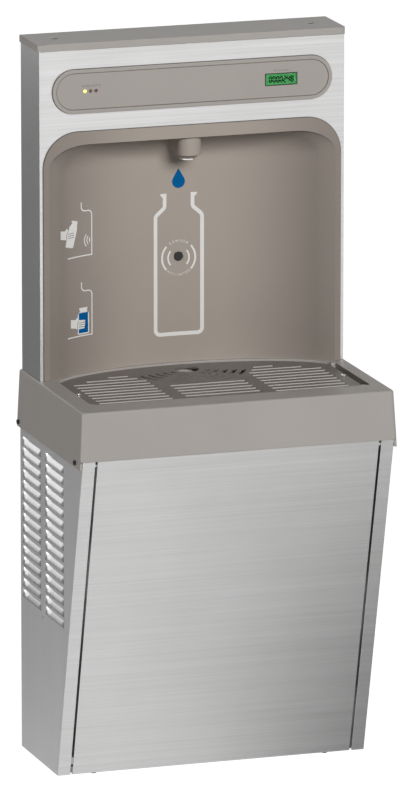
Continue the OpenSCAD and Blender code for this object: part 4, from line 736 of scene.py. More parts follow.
@dataclass
class Studio:
    """Floor, world, lamps, flags and the camera, in metres from the hanger bolts.

    Attributes:
        floor_z: Height of the floor.
        world: Strength of the world's light.
        eye: Place of the camera.
        aim: Direction of the camera: azimuth and elevation in degrees.
        off_axis: Slopes from the fitted axis to the middle of the picture.
        lens: Focal length in millimetres for a 36 mm high sensor.
        flags: Name, middle, half width and half height, and turns in degrees of each flag.
        lamps: Name, place, place it faces, width and height, and watts of each lamp.
        cloth: Scale and octaves of the flags' clouds, their darkest and lightest tone, and roughness.
        ground: The same for the floor, and the strength of the white that it shows the camera.
    """

    floor_z: float = -0.95
    world: float = 0.02
    eye: Point = (-3.8478, -11.7408, 2.8977)
    aim: Flat = (18.27, 12.75)
    off_axis: Flat = (0.001681, -0.002465)
    lens: float = 401.25
    flags: tuple = (("flag_behind", (-2.4, 1.8, -0.4), (2.2, 0.7), (90.0, 0.0, 0.0)),
                    ("flag_above", (1.35, 1.8, 0.58), (1.0, 0.22), (90.0, 0.0, 0.0)),
                    ("flag_low", (1.34, -0.5, -0.93), (1.02, 0.47), (0.0, 0.0, 26.0)))
    lamps: tuple = (("key", (0.3, -4.9, 2.45), (0.0, 0.0, 0.1), (2.2, 1.8), 224.0),
                    ("fill", (-3.6, -0.05, -0.35), (0.0, -0.05, 0.0), (0.5, 1.2), 40.0))
    cloth: tuple = (5.0, 3.0, (0.24, 0.26), 0.9)
    ground: tuple = (3.0, 4.0, (0.4, 0.42), 0.8, 0.96)

    def build(self) -> None:
        """Build everything round the unit."""
        self.build_world()
        self.build_floor()
        cloth = self.matte("studio_flag", *self.cloth)
        for name, at, size, turn in self.flags:
            self.build_flag(name, at, size, turn, cloth)
        for name, at, to, size, power in self.lamps:
            self.build_lamp(name, at, to, size, power)
        self.build_camera()

    @staticmethod
    def seen(sketch: Sketch) -> Socket:
        """Add a mask of the rays that show the plain background: straight, glossy or through glass.

        Args:
            sketch: Sketch of the world or of a stage material.

        Returns:
            The mask's output.
        """
        path = sketch.add("LightPath").outputs
        mask = sketch.plus(path["Is Camera Ray"], path["Is Glossy Ray"], clamp=True)
        return sketch.plus(mask, path["Is Transmission Ray"], clamp=True)

    def matte(self, name: str, scale: float, detail: float, tones: Flat, rough: float,
              lift: float = 0.0) -> Material:
        """Build a matte grey with slow clouds.

        Args:
            name: Name of the material.
            scale: Scale of the clouds.
            detail: Their number of octaves.
            tones: Darkest and lightest tone.
            rough: Roughness.
            lift: Strength of the white that shows it as plain background.

        Returns:
            The new material.
        """
        material, sketch = material_sketch(name)
        tone = sketch.span(sketch.noise(sketch.place(), scale, detail), 0.3, 0.7, tones)
        sockets = {"Base Color": sketch.grey(tone), "Roughness": rough}
        if lift:
            sockets |= {"Emission Color": WHITE, "Emission Strength": sketch.times(self.seen(sketch), lift)}
        sketch.show(sockets)
        return material

    def build_world(self) -> None:
        """Build a soft white world that is shown as white."""
        world = bpy.data.worlds.new("studio_world")
        bpy.context.scene.world = world
        world.use_nodes = True
        sketch = Sketch(world.node_tree)
        soft = sketch.add("Background", None, {0: (1.0, 0.995, 0.985, 1.0), 1: self.world})
        plain = sketch.add("Background", None, {0: WHITE, 1: 1.0})
        mix = sketch.add("MixShader", None, {0: self.seen(sketch), 1: soft.outputs[0], 2: plain.outputs[0]})
        sketch.add("OutputWorld", None, {0: mix.outputs[0]})

    def build_floor(self) -> None:
        """Build the plain pale floor, which shows white and keeps the shadow of the unit."""
        form = bmesh.new()
        bmesh.ops.create_grid(form, x_segments=12, y_segments=12, size=9.0,
                              matrix=Matrix.Translation((0.5, 2.0, self.floor_z)))
        floor = sculpt("studio_floor", form)
        floor.data.materials.append(self.matte("studio_floor", *self.ground))

    @staticmethod
    def build_flag(name: str, at: Point, size: Flat, turn: Point, cloth: Material) -> None:
        """Build a dark card outside the picture, which gives the metal something to reflect.

        Args:
            name: Name of the card.
            at: Place of its middle.
            size: Half its width and half its height.
            turn: Turns about X, Y and Z in degrees.
            cloth: Its material.
        """
        form = bmesh.new()
        bmesh.ops.create_grid(form, x_segments=6, y_segments=6, size=1.0)
        bmesh.ops.scale(form, vec=(*size, 1.0), verts=form.verts)
        flag = sculpt(name, form)
        flag.location = at
        flag.rotation_euler = tuple(math.radians(a) for a in turn)
        flag.visible_camera = False
        flag.visible_shadow = False
        flag.data.materials.append(cloth)

    @staticmethod
    def build_lamp(name: str, at: Point, to: Point, size: Flat, power: float) -> None:
        """Add one soft lamp.

        Args:
            name: Name of the lamp.
            at: Its place.
            to: The place it faces.
            size: Width and height.
            power: Power in watts.
        """
        light = bpy.data.lights.new(name, "AREA")
        light.shape = "RECTANGLE"
        light.size, light.size_y = size
        light.energy = power
        thing = bpy.data.objects.new(name, light)
        thing.location = at
        thing.rotation_euler = (Vector(to) - Vector(at)).to_track_quat("-Z", "Y").to_euler()
        bpy.context.scene.collection.objects.link(thing)

    def build_camera(self) -> None:
        """Build the camera at the photograph's place."""
        turn, lift = (math.radians(a) for a in self.aim)
        ahead = Vector((math.sin(turn) * math.cos(lift), math.cos(turn) * math.cos(lift), -math.sin(lift)))
        right = Vector((math.cos(turn), -math.sin(turn), 0.0))
        look = (ahead + right * self.off_axis[0] + right.cross(ahead) * self.off_axis[1]).normalized()
        data = bpy.data.cameras.new("photo_camera")
        data.sensor_fit = "VERTICAL"
        data.sensor_height = 36.0
        data.lens = self.lens
        data.clip_end = 60.0
        camera = bpy.data.objects.new("photo_camera", data)
        camera.location = self.eye
        camera.rotation_euler = look.to_track_quat("-Z", "Y").to_euler()
        bpy.context.scene.collection.objects.link(camera)
        bpy.context.scene.camera = camera


@dataclass
class Group:
    """One sub-assembly of the scene.

    Attributes:
        box: The finishes.
    """

    box: Paintbox


@dataclass
class Carried(Group):
    """The CAD nodes that are shown as they are, with finer finishes.

    Attributes:
        other: Nodes whose finish differs from their record's slot.
    """

    other: dict[str, str] = field(default_factory=lambda: {
        "control_panel": "panel_plastic", "left_side_panel": "side_sheet", "right_side_panel": "side_sheet"})

    def build(self) -> None:
        """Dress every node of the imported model."""
        slots = {part["node"]: part["material_slot"] for part in frame["record"]["subparts"]}
        for name, node in frame["nodes"].items():
            finish = self.other.get(name, slots[name])
            self.box.dress(node, finish)
            LOG.info("node %s: %s", name, finish)


@dataclass
class Mouldings(Group):
    """Moulded parts whose curves are shown without facets.

    Attributes:
        parts: Node, name of its piece, finish, and the smallest bend in degrees that stays an edge.
    """

    parts: tuple = (("alcove_liner", "smooth_alcove", "liner_plastic", 65.0),
                    ("spout_housing", "smooth_spout_housing", "liner_plastic", 40.0),
                    ("basin", "smooth_basin", "taupe_plastic", 35.0))

    def build(self) -> None:
        """Build every moulding with its shallow facets blended and its real edges kept."""
        for node, name, finish, angle in self.parts:
            form = bmesh.new()
            form.from_mesh(frame["nodes"][node].data)
            bmesh.ops.remove_doubles(form, verts=form.verts, dist=1e-6)
            for line in form.edges:
                line.smooth = len(line.link_faces) == 2 and line.calc_face_angle(0.0) < math.radians(angle)
            self.box.piece(sculpt(name, form, smooth=True, tidy=False), finish, node=node)


@dataclass(frozen=True)
class Wall:
    """Curved back wall of the alcove, half an ellipse in plan.

    Attributes:
        half: Half of the ellipse's width.
        deep: Its depth.
        middle: Distance of its middle from the building's wall.
    """

    half: float = 216.0
    deep: float = 97.0
    middle: float = -120.0

    def at(self, x: float, z: float, lift: float) -> Vector:
        """Find a place just in front of the wall.

        Args:
            x: Distance to the right of the middle.
            z: Height above the foot.
            lift: Distance in front of the surface.

        Returns:
            The place in metres.
        """
        flat = math.sqrt(1 - (x / self.half) ** 2)
        out = Vector((x / self.half ** 2, flat / self.deep)).normalized() * lift
        return metres(x - out.x, self.middle + self.deep * flat - out.y, z)


class Print:
    """Flat artwork in X and Z that is bent onto the alcove's wall or laid on a flat face."""

    STRIP = 3.0

    def __init__(self, lift: float, face: float | None = None) -> None:
        """Start with nothing drawn.

        Args:
            lift: Distance in front of the surface.
            face: Y of a flat face, or None for the alcove's wall.
        """
        self.lift = lift
        self.face = face
        self.form = bmesh.new()

    def area(self, points: Sequence[Sequence[float]]) -> None:
        """Add a filled outline, given by its corners."""
        self.form.faces.new([self.form.verts.new((p[0], 0.0, p[1])) for p in points])

    def line(self, points: Sequence[Sequence[float]], width: float, closed: bool = False) -> None:
        """Add a line of even width with mitred corners.

        Args:
            points: Points along the middle of the line.
            width: Its width.
            closed: Whether it ends where it starts.
        """
        spots = [Vector(p) for p in points]
        count = len(spots)
        rows = []
        for i, here in enumerate(spots):
            last, after = spots[i - 1], spots[(i + 1) % count]
            ahead = (after - here).normalized() if closed or i < count - 1 else (here - last).normalized()
            behind = (here - last).normalized() if closed or i else ahead
            side = (ahead + behind).normalized().orthogonal()
            reach = width / 2 / max(0.4, side.dot(ahead.orthogonal()))
            ends = (here - side * reach, here + side * reach)
            rows.append([self.form.verts.new((p.x, 0.0, p.y)) for p in ends])
        loft(self.form, rows, closed)

    def words(self, text: str, size: float, at: Flat, turn: float = 0.0) -> None:
        """Add plain lettering that is centred on a point.

        Args:
            text: What it says.
            size: Height of the type.
            at: Middle of the base line.
            turn: Turn in degrees.
        """
        curve = bpy.data.curves.new("type", "FONT")
        curve.body, curve.size, curve.align_x = text, size, "CENTER"
        holder = bpy.data.objects.new("type", curve)
        flat = bpy.data.meshes.new_from_object(holder)
        place = Matrix.Rotation(math.radians(turn), 2)
        spots = [Vector(at) + place @ v.co.to_2d() for v in flat.vertices]
        made = [self.form.verts.new((p.x, 0.0, p.y)) for p in spots]
        for face in flat.polygons:
            self.form.faces.new([made[i] for i in face.vertices])
        bpy.data.objects.remove(holder)
        bpy.data.curves.remove(curve)
        bpy.data.meshes.remove(flat)

    def words_round(self, text: str, size: float, centre: Flat, radius: float, pitch: float) -> None:
        """Add lettering that follows a circle.

        Args:
            text: What it says.
            size: Height of the type.
            centre: Middle of the circle.
            radius: Radius of the base line.
            pitch: Angle from letter to letter in degrees: above 0 along the bottom, below 0 over the top.
        """
        for i, letter in enumerate(text):
            turn = (i - (len(text) - 1) / 2) * pitch
            angle = math.radians(turn + math.copysign(90, -pitch))
            at = (centre[0] + radius * math.cos(angle), centre[1] + radius * math.sin(angle))
            self.words(letter, size, at, turn)

    def lay(self, name: str) -> Thing:
        """Cut the artwork into strips and lay it on its surface.

        Args:
            name: Name of the piece.

        Returns:
            The new object.
        """
        form = self.form
        bmesh.ops.triangulate(form, faces=form.faces[:])
        if self.face is None:
            wide = [v.co.x for v in form.verts]
            for k in range(math.ceil(min(wide) / self.STRIP), math.floor(max(wide) / self.STRIP) + 1):
                bmesh.ops.bisect_plane(form, geom=form.verts[:] + form.edges[:] + form.faces[:],
                                       plane_co=(k * self.STRIP, 0.0, 0.0), plane_no=(1.0, 0.0, 0.0))
        wall = Wall()
        for vert in form.verts:
            x, z = vert.co.x, vert.co.z
            vert.co = wall.at(x, z, self.lift) if self.face is None else metres(x, self.face - self.lift, z)
        return sculpt(name, form)


@dataclass
class Skin(Group):
    """Moulded inner face of the alcove: its wall, its rounded ceiling and its flared mouth in one sweep.

    Attributes:
        wall: Plan of the wall.
        foot: Height of its lower edge.
        ceiling: Height of the ceiling.
        blend: Radius between the wall and the ceiling.
        front: Y of the mouth's front edge.
        flare: Depth of the flared mouth.
        mouth: Half width of the mouth, and the half axes of its top corners.
        lift: Distance in front of the CAD surface.
        steps: Number of faces across, up the wall and round the blend.
        sensor: Height and radius of the sensor's hole.
    """

    wall: Wall = field(default_factory=Wall)
    foot: float = 556.4
    ceiling: float = 895.0
    blend: float = 45.0
    front: float = -90.3
    flare: float = 16.0
    mouth: Point = (213.4, 60.0, 34.0)
    lift: float = 0.6
    steps: tuple[int, int, int] = (144, 44, 24)
    sensor: Flat = (710.0, 7.0)

    def level(self, z: float, shrink: float) -> list[Vector]:
        """List the points of one level, from the left of the mouth to the right.

        Args:
            z: Height of the level.
            shrink: How far the wall has moved in at this height.

        Returns:
            The points in millimetres.
        """
        half, deep = (v - shrink - self.lift for v in (self.wall.half, self.wall.deep))
        wide, corner, high = self.mouth
        over = max(0.0, min(1.0, (z - self.ceiling + high) / high))
        lip = wide - corner * (1 - math.sqrt(1 - over ** 2))
        turn = math.asin(math.sqrt(1 - ((self.front - self.wall.middle) / deep) ** 2))
        edge = half * math.sin(turn)
        points = []
        for k in range(self.steps[0] + 1):
            t = (2 * k / self.steps[0] - 1) * turn
            x, y = half * math.sin(t), self.wall.middle + deep * math.cos(t)
            near = max(0.0, 1 - (y - self.front) / self.flare)
            points.append(Vector((x + math.copysign((lip - edge) * near ** 2, x), y, z - self.lift)))
        return points

    def build(self) -> None:
        """Build the skin level by level, cut the sensor's hole and close the ceiling."""
        across, up, bend = self.steps
        top = self.ceiling - self.blend
        levels = [(self.foot + (top - self.foot) * k / up, 0.0) for k in range(up + 1)]
        levels += [(top + self.blend * math.sin(a), self.blend * (1 - math.cos(a)))
                   for a in (math.pi / 2 * k / bend for k in range(1, bend + 1))]
        form = bmesh.new()
        rows = [row(form, self.level(*level)) for level in levels]
        loft(form, rows)
        last = rows[-1]
        for k in range(across // 2):
            a, b, c, d = last[k], last[k + 1], last[across - k - 1], last[across - k]
            form.faces.new((a, b, c, d) if b is not c else (a, b, d))
        height, radius = self.sensor
        middle = metres(0.0, self.wall.middle + self.wall.deep, height)
        hole = [f for f in form.faces if (f.calc_center_median() - middle).length < radius / 1000]
        bmesh.ops.delete(form, geom=hole, context="FACES")
        self.box.piece(sculpt("alcove_skin", form, smooth=True), "liner_plastic")


@dataclass
class AlcoveArt(Group):
    """Printing on the alcove's wall: drop, bottle outline, sensor rings and two instruction pictures.

    Attributes:
        skin: Distance of the moulded skin in front of the wall.
        lift: Distance of the first layer of print in front of the skin, and of each layer from the last.
        half: Half width of the bottle outline.
        neck: Half width of its neck.
        foot: Height of its base.
        shoulder: Height where its shoulders start.
        slope: Height of its shoulders.
        lip: Height of its mouth.
        bend: Radius of its corners.
        line: Width of its line.
        flare: Corners of the mouth's flare, out from the middle of the line and up from the mouth.
        sensor: Height of the bottle sensor.
        drop: Lowest and highest point of the drop.
        drop_r: Radius of the drop.
        frame: Corners of the line round the upper picture.
        frame_r: Radius of its corners.
        thin: Width of that line and of the waves.
        step: Distance from the upper picture down to the lower.
        ring: Radius, half angle in degrees and width of each arc round the sensor.
        ring_words: Text, height, radius and pitch in degrees of the words round the sensor.
        bottles: Foot, width and tilt in degrees of the bottle in each picture.
        water: Corners of the water in the lower picture.
        waves: Middle of the sensor's waves, and their radii.
        wrists: Middle of each hand's cuff.
    """

    BOTTLE = (28.5, 33.5, 38.5)
    HAND = ((0.0, -6.0), (0.0, 6.5), (9.0, 4.6), (11.5, 7.6), (14.4, 6.6), (15.0, 3.6), (24.6, 2.4),
            (26.0, 0.8), (25.0, -0.9), (26.2, -2.2), (25.0, -3.9), (25.8, -5.4), (24.4, -7.0), (24.8, -8.6),
            (23.2, -9.8), (13.0, -9.6), (8.0, -7.6))
    THUMB = ((12.6, -9.4), (12.0, -2.0), (14.8, 2.6))
    GAPS = (-0.2, -3.2, -6.2)

    skin: float = Skin.lift
    lift: float = 0.15
    half: float = 35.0
    neck: float = 21.0
    foot: float = 597.0
    shoulder: float = 770.0
    slope: float = 12.0
    lip: float = 801.0
    bend: float = 7.0
    line: float = 5.6
    flare: tuple = ((2.8, -5.0), (6.0, -1.5), (7.0, 1.0), (2.8, 1.3))
    sensor: float = 708.0
    drop: Flat = (809.4, 837.9)
    drop_r: float = 9.7
    frame: tuple = ((-155.0, 804.0), (-155.0, 791.0), (-137.1, 791.0), (-137.1, 726.4), (-179.8, 726.4))
    frame_r: float = 6.5
    thin: Flat = (1.7, 1.5)
    step: float = 115.9
    ring: tuple = ((15.8, 40, 2.4), (25.0, 43, 2.8))
    ring_words: tuple = (("SENSOR", 5.4, 23.0, -12.5), ("ACTIVATED", 5.0, 26.5, 9.5))
    bottles: tuple = (((-177.2, 742.0), 15.0, -16.0), ((-152.0, 612.8), 19.6, 0.0))
    water: tuple = ((-160.0, 614.6), (-144.0, 614.6), (-144.0, 644.0), (-160.0, 644.0))
    waves: tuple = ((-136.6, 748.0), (4.6, 8.8, 13.0))
    wrists: tuple = ((-194.3, 763.0), (-174.8, 630.6))

    def build(self) -> None:
        """Build every printed piece."""
        for maker in (self.outline, self.rings, self.teardrop, self.pictures):
            maker()

    def outline(self) -> None:
        """Build the pale bottle outline, open at its mouth."""
        art = Print(self.skin + self.lift)
        for side in (-1, 1):
            route = [(0.0, self.foot), (self.half, self.foot), (self.half, self.shoulder),
                     (self.neck, self.shoulder + self.slope), (self.neck, self.lip + self.flare[-1][1])]
            art.line([Vector((side * p.x, p.y)) for p in rounded(route, self.bend)], self.line)
            art.area([Vector((side * (self.neck + out), self.lip + up)) for out, up in self.flare])
        self.box.piece(art.lay("bottle_outline"), "print_white")

    def rings(self) -> None:
        """Build the rings and the small words round the bottle sensor."""
        art = Print(self.skin + self.lift)
        centre = (0.0, self.sensor)
        for middle in (0.0, 180.0):
            for radius, half, width in self.ring:
                art.line(arc(centre, radius, middle - half, middle + half), width)
        for text, size, radius, pitch in self.ring_words:
            art.words_round(text, size, centre, radius, pitch)
        self.box.piece(art.lay("sensor_rings"), "print_white")

    def teardrop(self) -> None:
        """Build the blue drop below the spout."""
        low, high = self.drop
        art = Print(self.skin + self.lift)
        side = math.degrees(math.acos(self.drop_r / (high - low - self.drop_r)))
        belly = arc((0.0, low + self.drop_r), self.drop_r, 90 + side, 450 - side, 32)
        art.area([Vector((0.0, high))] + belly)
        self.box.piece(art.lay("blue_drop"), "print_blue")

    def pictures(self) -> None:
        """Build the two instruction pictures: hold a bottle to the sensor, then let it fill."""
        pale, blue, top, dark = (Print(self.skin + self.lift * n) for n in (1, 2, 3, 4))
        for fall in (0.0, self.step):
            route = [Vector((x, z - fall)) for x, z in self.frame]
            pale.line(rounded(route[:4], self.frame_r)[:-1] + route[3:], self.thin[0])
        for foot, width, tilt in self.bottles:
            self.bottle(pale, foot, width, tilt)
        blue.area(self.water)
        middle, radii = self.waves
        for radius in radii:
            pale.line(arc(middle, radius, 138, 222), self.thin[1])
        for wrist in self.wrists:
            self.hand(top, dark, wrist)
        layers = ((pale, "lines", "print_white"), (blue, "water", "print_blue"),
                  (top, "hands", "print_white"), (dark, "fingers", "print_dark"))
        for art, word, finish in layers:
            self.box.piece(art.lay(f"picture_{word}"), finish)

    def bottle(self, art: Print, foot: Flat, width: float, tilt: float) -> None:
        """Draw one small bottle.

        Args:
            art: Layer of print.
            foot: Middle of its base.
            width: Its width.
            tilt: How far it leans, in degrees.
        """
        half = width / 2
        neck, cap = half * 0.55, half * 0.72
        side, shoulder, top = self.BOTTLE
        right = [(half - 1.5, 0.0), (half, 1.5), (half, side), (half - 0.8, side + 2.0), (neck, shoulder),
                 (neck, shoulder + 1.5), (cap, shoulder + 1.5), (cap, top)]
        turn = Matrix.Rotation(math.radians(tilt), 2)
        shape = right + [(-x, z) for x, z in reversed(right)]
        art.area([Vector(foot) + turn @ Vector(p) for p in shape])

    def hand(self, art: Print, lines: Print, wrist: Flat) -> None:
        """Draw a hand that grips a bottle from the left.

        Args:
            art: Layer of print for the hand.
            lines: Layer of print for the gaps between the fingers.
            wrist: Middle of the cuff.
        """
        x, z = wrist
        art.area([(x + a, z + b) for a, b in self.HAND])
        for gap in self.GAPS:
            lines.line([(x + 14.6, z + gap - 0.6), (x + 25.6, z + gap - 0.7)], 0.8)
        lines.line(rounded([(x + a, z + b) for a, b in self.THUMB], 2.0, 4), 0.7)


@dataclass
class PanelArt(Group):
    """Display digits, their frame, the small words on the control panel, and a dark line of painted shade round
    the panel's recess.

    Attributes:
        count: Digits on the display.
        middle: Middle of the display.
        size: Width and height of one digit.
        pitch: Distance from digit to digit.
        stroke: Width of a segment.
        open: Share of the stroke that stays bare at each end of a segment.
        window: Width and height of the display window.
        rim: Width of the dark frame round the window.
        face: Y of the panel's recessed face.
        pill: Half width and half height of the recess.
        recess_shade_line: Width of the dark line of painted shade round the recess.
        lifts: How far the digits, the frame and words, and the line of painted shade round the recess stand in
            front of the face.
        lines: Text, height, and place from the middle of the display, of each line of words.
    """

    SEGMENTS = {"0": "abcdef", "1": "bc", "2": "abged", "3": "abgcd", "4": "fgbc", "5": "afgcd",
                "6": "afgedc", "7": "abc", "8": "abcdefg", "9": "abcfgd"}
    ENDS = {"a": (-1, 1, 1, 1), "b": (1, 1, 1, 0), "c": (1, 0, 1, -1), "d": (-1, -1, 1, -1),
            "e": (-1, 0, -1, -1), "f": (-1, 1, -1, 0), "g": (-1, 0, 1, 0)}

    count: str = "0000248"
    middle: Flat = (131.75, 971.5)
    size: Flat = (3.3, 8.0)
    pitch: float = 5.4
    stroke: float = 1.6
    open: float = 0.35
    window: Flat = (48.5, 18.0)
    rim: float = 1.2
    face: float = -90.3
    pill: Flat = (203.0, 26.5)
    recess_shade_line: float = 1.2
    lifts: Point = (0.12, 0.03, 0.02)
    lines: tuple = (("FILTER STATUS", 4.2, (-282.75, 6.0)), ("BOTTLES SAVED", 3.0, (0.0, 11.6)))

    def build(self) -> None:
        """Build the digits, the frame, the words and the line of painted shade round the recess."""
        x, z = self.middle
        high, low, least = self.lifts
        digits, rim, recess_shade_line, words = (Print(lift, self.face) for lift in (high, low, least, low))
        for i, digit in enumerate(self.count):
            self.draw(digits, digit, x + (i - (len(self.count) - 1) / 2) * self.pitch)
        w, h = (v / 2 - self.rim / 2 for v in self.window)
        rim.line([(x - w, z - h), (x + w, z - h), (x + w, z + h), (x - w, z + h)], self.rim, closed=True)
        half, tall = self.pill
        # Painted shade: a dark line round the edge of the recess.
        recess_shade_line.line(pill(half - tall, tall - self.recess_shade_line / 2, z), self.recess_shade_line, closed=True)
        for text, size, (right, up) in self.lines:
            words.words(text, size, (x + right, z + up))
        layers = ((digits, "display_digits", "display_ink"), (rim, "display_frame", "black_frame_and_painted_shade"),
                  (recess_shade_line, "recess_painted_shade", "print_dark"), (words, "panel_words", "print_dark"))
        for art, name, finish in layers:
            self.box.piece(art.lay(name), finish)

    def draw(self, art: Print, digit: str, x: float) -> None:
        """Draw one seven-segment digit.

        Args:
            art: Layer of print.
            digit: The digit.
            x: Its middle.
        """
        w, h = (v / 2 for v in self.size)
        z = self.middle[1]
        for name in self.SEGMENTS[digit]:
            a, b, c, d = self.ENDS[name]
            one, two = Vector((x + a * w, z + b * h)), Vector((x + c * w, z + d * h))
            gap = (two - one).normalized() * self.stroke * self.open
            art.line([one + gap, two - gap], self.stroke)


@dataclass
class Seals(Group):
    """Thin dark sealing beads where the plastic parts meet the tower's sheet; their dark colour also paints the
    shade in the narrow gap there.

    Attributes:
        face: Y of the tower's front.
        width: Width of a bead.
        proud: How far a bead stands out.
        panel: Half width and half height of the control panel, and its middle height.
        flange: Half width, top and corner radius of the alcove's flange.
        foot: Height of the deck.
        profile: Places across a bead and out from the face, as shares of half its width and of its height.
    """

    face: float = -88.0
    width: float = 0.9
    proud: float = 0.7
    panel: Point = (208.0, 31.5, 971.5)
    flange: Point = (222.0, 913.5, 52.0)
    foot: float = 558.0
    profile: tuple = ((-1.0, 0.05), (-0.7, 0.75), (0.0, 1.0), (0.7, 0.75), (1.0, 0.05))

    def build(self) -> None:
        """Build both beads."""
        grow = self.width / 2
        half, high, middle = self.panel
        self.bead("panel_seal", pill(half - high, high + grow, middle), True)
        half, top, r = self.flange
        corners = [p for side, start in ((1, 0), (-1, 90))
                   for p in arc((side * (half - r), top - r), r + grow, start, start + 90, 20)]
        feet = [Vector((side * (half + grow), self.foot)) for side in (1, -1)]
        self.bead("alcove_seal", feet[:1] + corners + feet[1:], False)

    def bead(self, name: str, route: Sequence[Vector], closed: bool) -> None:
        """Build one bead with a rounded back.

        Args:
            name: Name of the piece.
            route: Points along it, in X and Z.
            closed: Whether it ends where it starts.
        """
        form = bmesh.new()
        rows = []
        count = len(route)
        for i, here in enumerate(route):
            one = route[i - 1] if closed or i else here
            two = route[(i + 1) % count] if closed or i < count - 1 else here
            side = (two - one).normalized().orthogonal() * (self.width / 2)
            rows.append(row(form, [(here.x + side.x * a, self.face - self.proud * b, here.y + side.y * a)
                                   for a, b in self.profile]))
        loft(form, rows, closed)
        # The bead's dark colour also paints the shade in the gap between the parts.
        self.box.piece(sculpt(name, form, smooth=True), "seal_bead_and_gap_shade")


@dataclass
class Collar(Group):
    """Tapered collar that carries the spout housing down to the bright ring.

    Attributes:
        y: Distance of the spout's axis from the building's wall.
        sides: Number of points round it.
        profile: Radius and height along its outside, from the housing down and back up inside.
    """

    y: float = -62.0
    sides: int = 64
    profile: tuple = ((17.2, 868.2), (17.2, 867.4), (16.9, 866.0), (16.2, 864.4), (15.0, 862.9),
                      (13.6, 861.9), (12.2, 861.4), (11.15, 861.3), (11.15, 862.5))

    def build(self) -> None:
        """Turn the profile round the spout's axis."""
        form = bmesh.new()
        turns = [2 * math.pi * k / self.sides for k in range(self.sides)]
        rows = [row(form, [(r * math.cos(a), self.y + r * math.sin(a), z) for a in turns])
                for r, z in self.profile]
        loft(form, rows, ring=True)
        self.box.piece(sculpt("spout_collar", form, smooth=True), "liner_plastic")


@dataclass
class SlotWalls(Group):
    """Rear walls of the grille's straight slots, coloured lighter than the grille's plastic as a painted
    highlight for the light they catch from the front.

    Attributes:
        first: Distance of the first side row from the building's wall.
        middle: Distance of the first middle row.
        rows: Number of side rows and of middle rows.
        pitch: Distance from row to row.
        width: Width of a slot.
        inner: Inner end of the side slots.
        outer: Outer end of the side slots.
        centre: Half length of the middle slots.
        deep: Height of a wall.
        spans: Number of faces along a wall.
        short: Number of side rows that the plate's corners shorten.
        gap: How far a wall keeps from the plate's top, from the slot's rear face and from its ends.
    """

    first: float = 81.0
    middle: float = 157.5
    rows: tuple[int, int] = (10, 5)
    pitch: float = 17.0
    width: float = 7.0
    inner: float = 76.0
    outer: float = 186.0
    centre: float = 56.0
    deep: float = 1.9
    spans: int = 6
    short: int = 2
    gap: Point = (0.1, 0.08, 0.2)

    def build(self) -> None:
        """Build every wall as one piece that lifts with the grille."""
        form = bmesh.new()
        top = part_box("drain_grille")[1][2] * 1000 + FOOT_TO_BOLTS - self.gap[0]
        for k in range(self.rows[0]):
            inset = max(0, self.short - k)
            low = self.inner + inset * self.pitch / 2
            high = self.outer - inset * (inset * self.width + self.pitch)
            for side in (-1, 1):
                self.wall(form, sorted((side * low, side * high)), self.first + k * self.pitch, top)
        for k in range(self.rows[1]):
            self.wall(form, [-self.centre, self.centre], self.middle + k * self.pitch, top)
        thing = sculpt("grille_slot_walls", form)
        # Painted highlight: the walls are lighter than the grille's plastic.
        self.box.dress(thing, "slot_wall_painted_highlight")
        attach(thing, "grille_plate")
        LOG.info("piece %s", thing.name)

    def wall(self, form: Form, ends: Sequence[float], out: float, top: float) -> None:
        """Add the rear wall of one slot.

        Args:
            form: Mesh that takes it.
            ends: Left and right end of the slot.
            out: Distance of its middle from the building's wall.
            top: Height of its upper edge.
        """
        y = self.width / 2 - self.gap[1] - out
        left, right = ends[0] + self.gap[2], ends[1] - self.gap[2]
        xs = [left + (right - left) * k / self.spans for k in range(self.spans + 1)]
        loft(form, [row(form, [(x, y, top - self.deep * s) for x in xs]) for s in (0.0, 0.5, 1.0)])


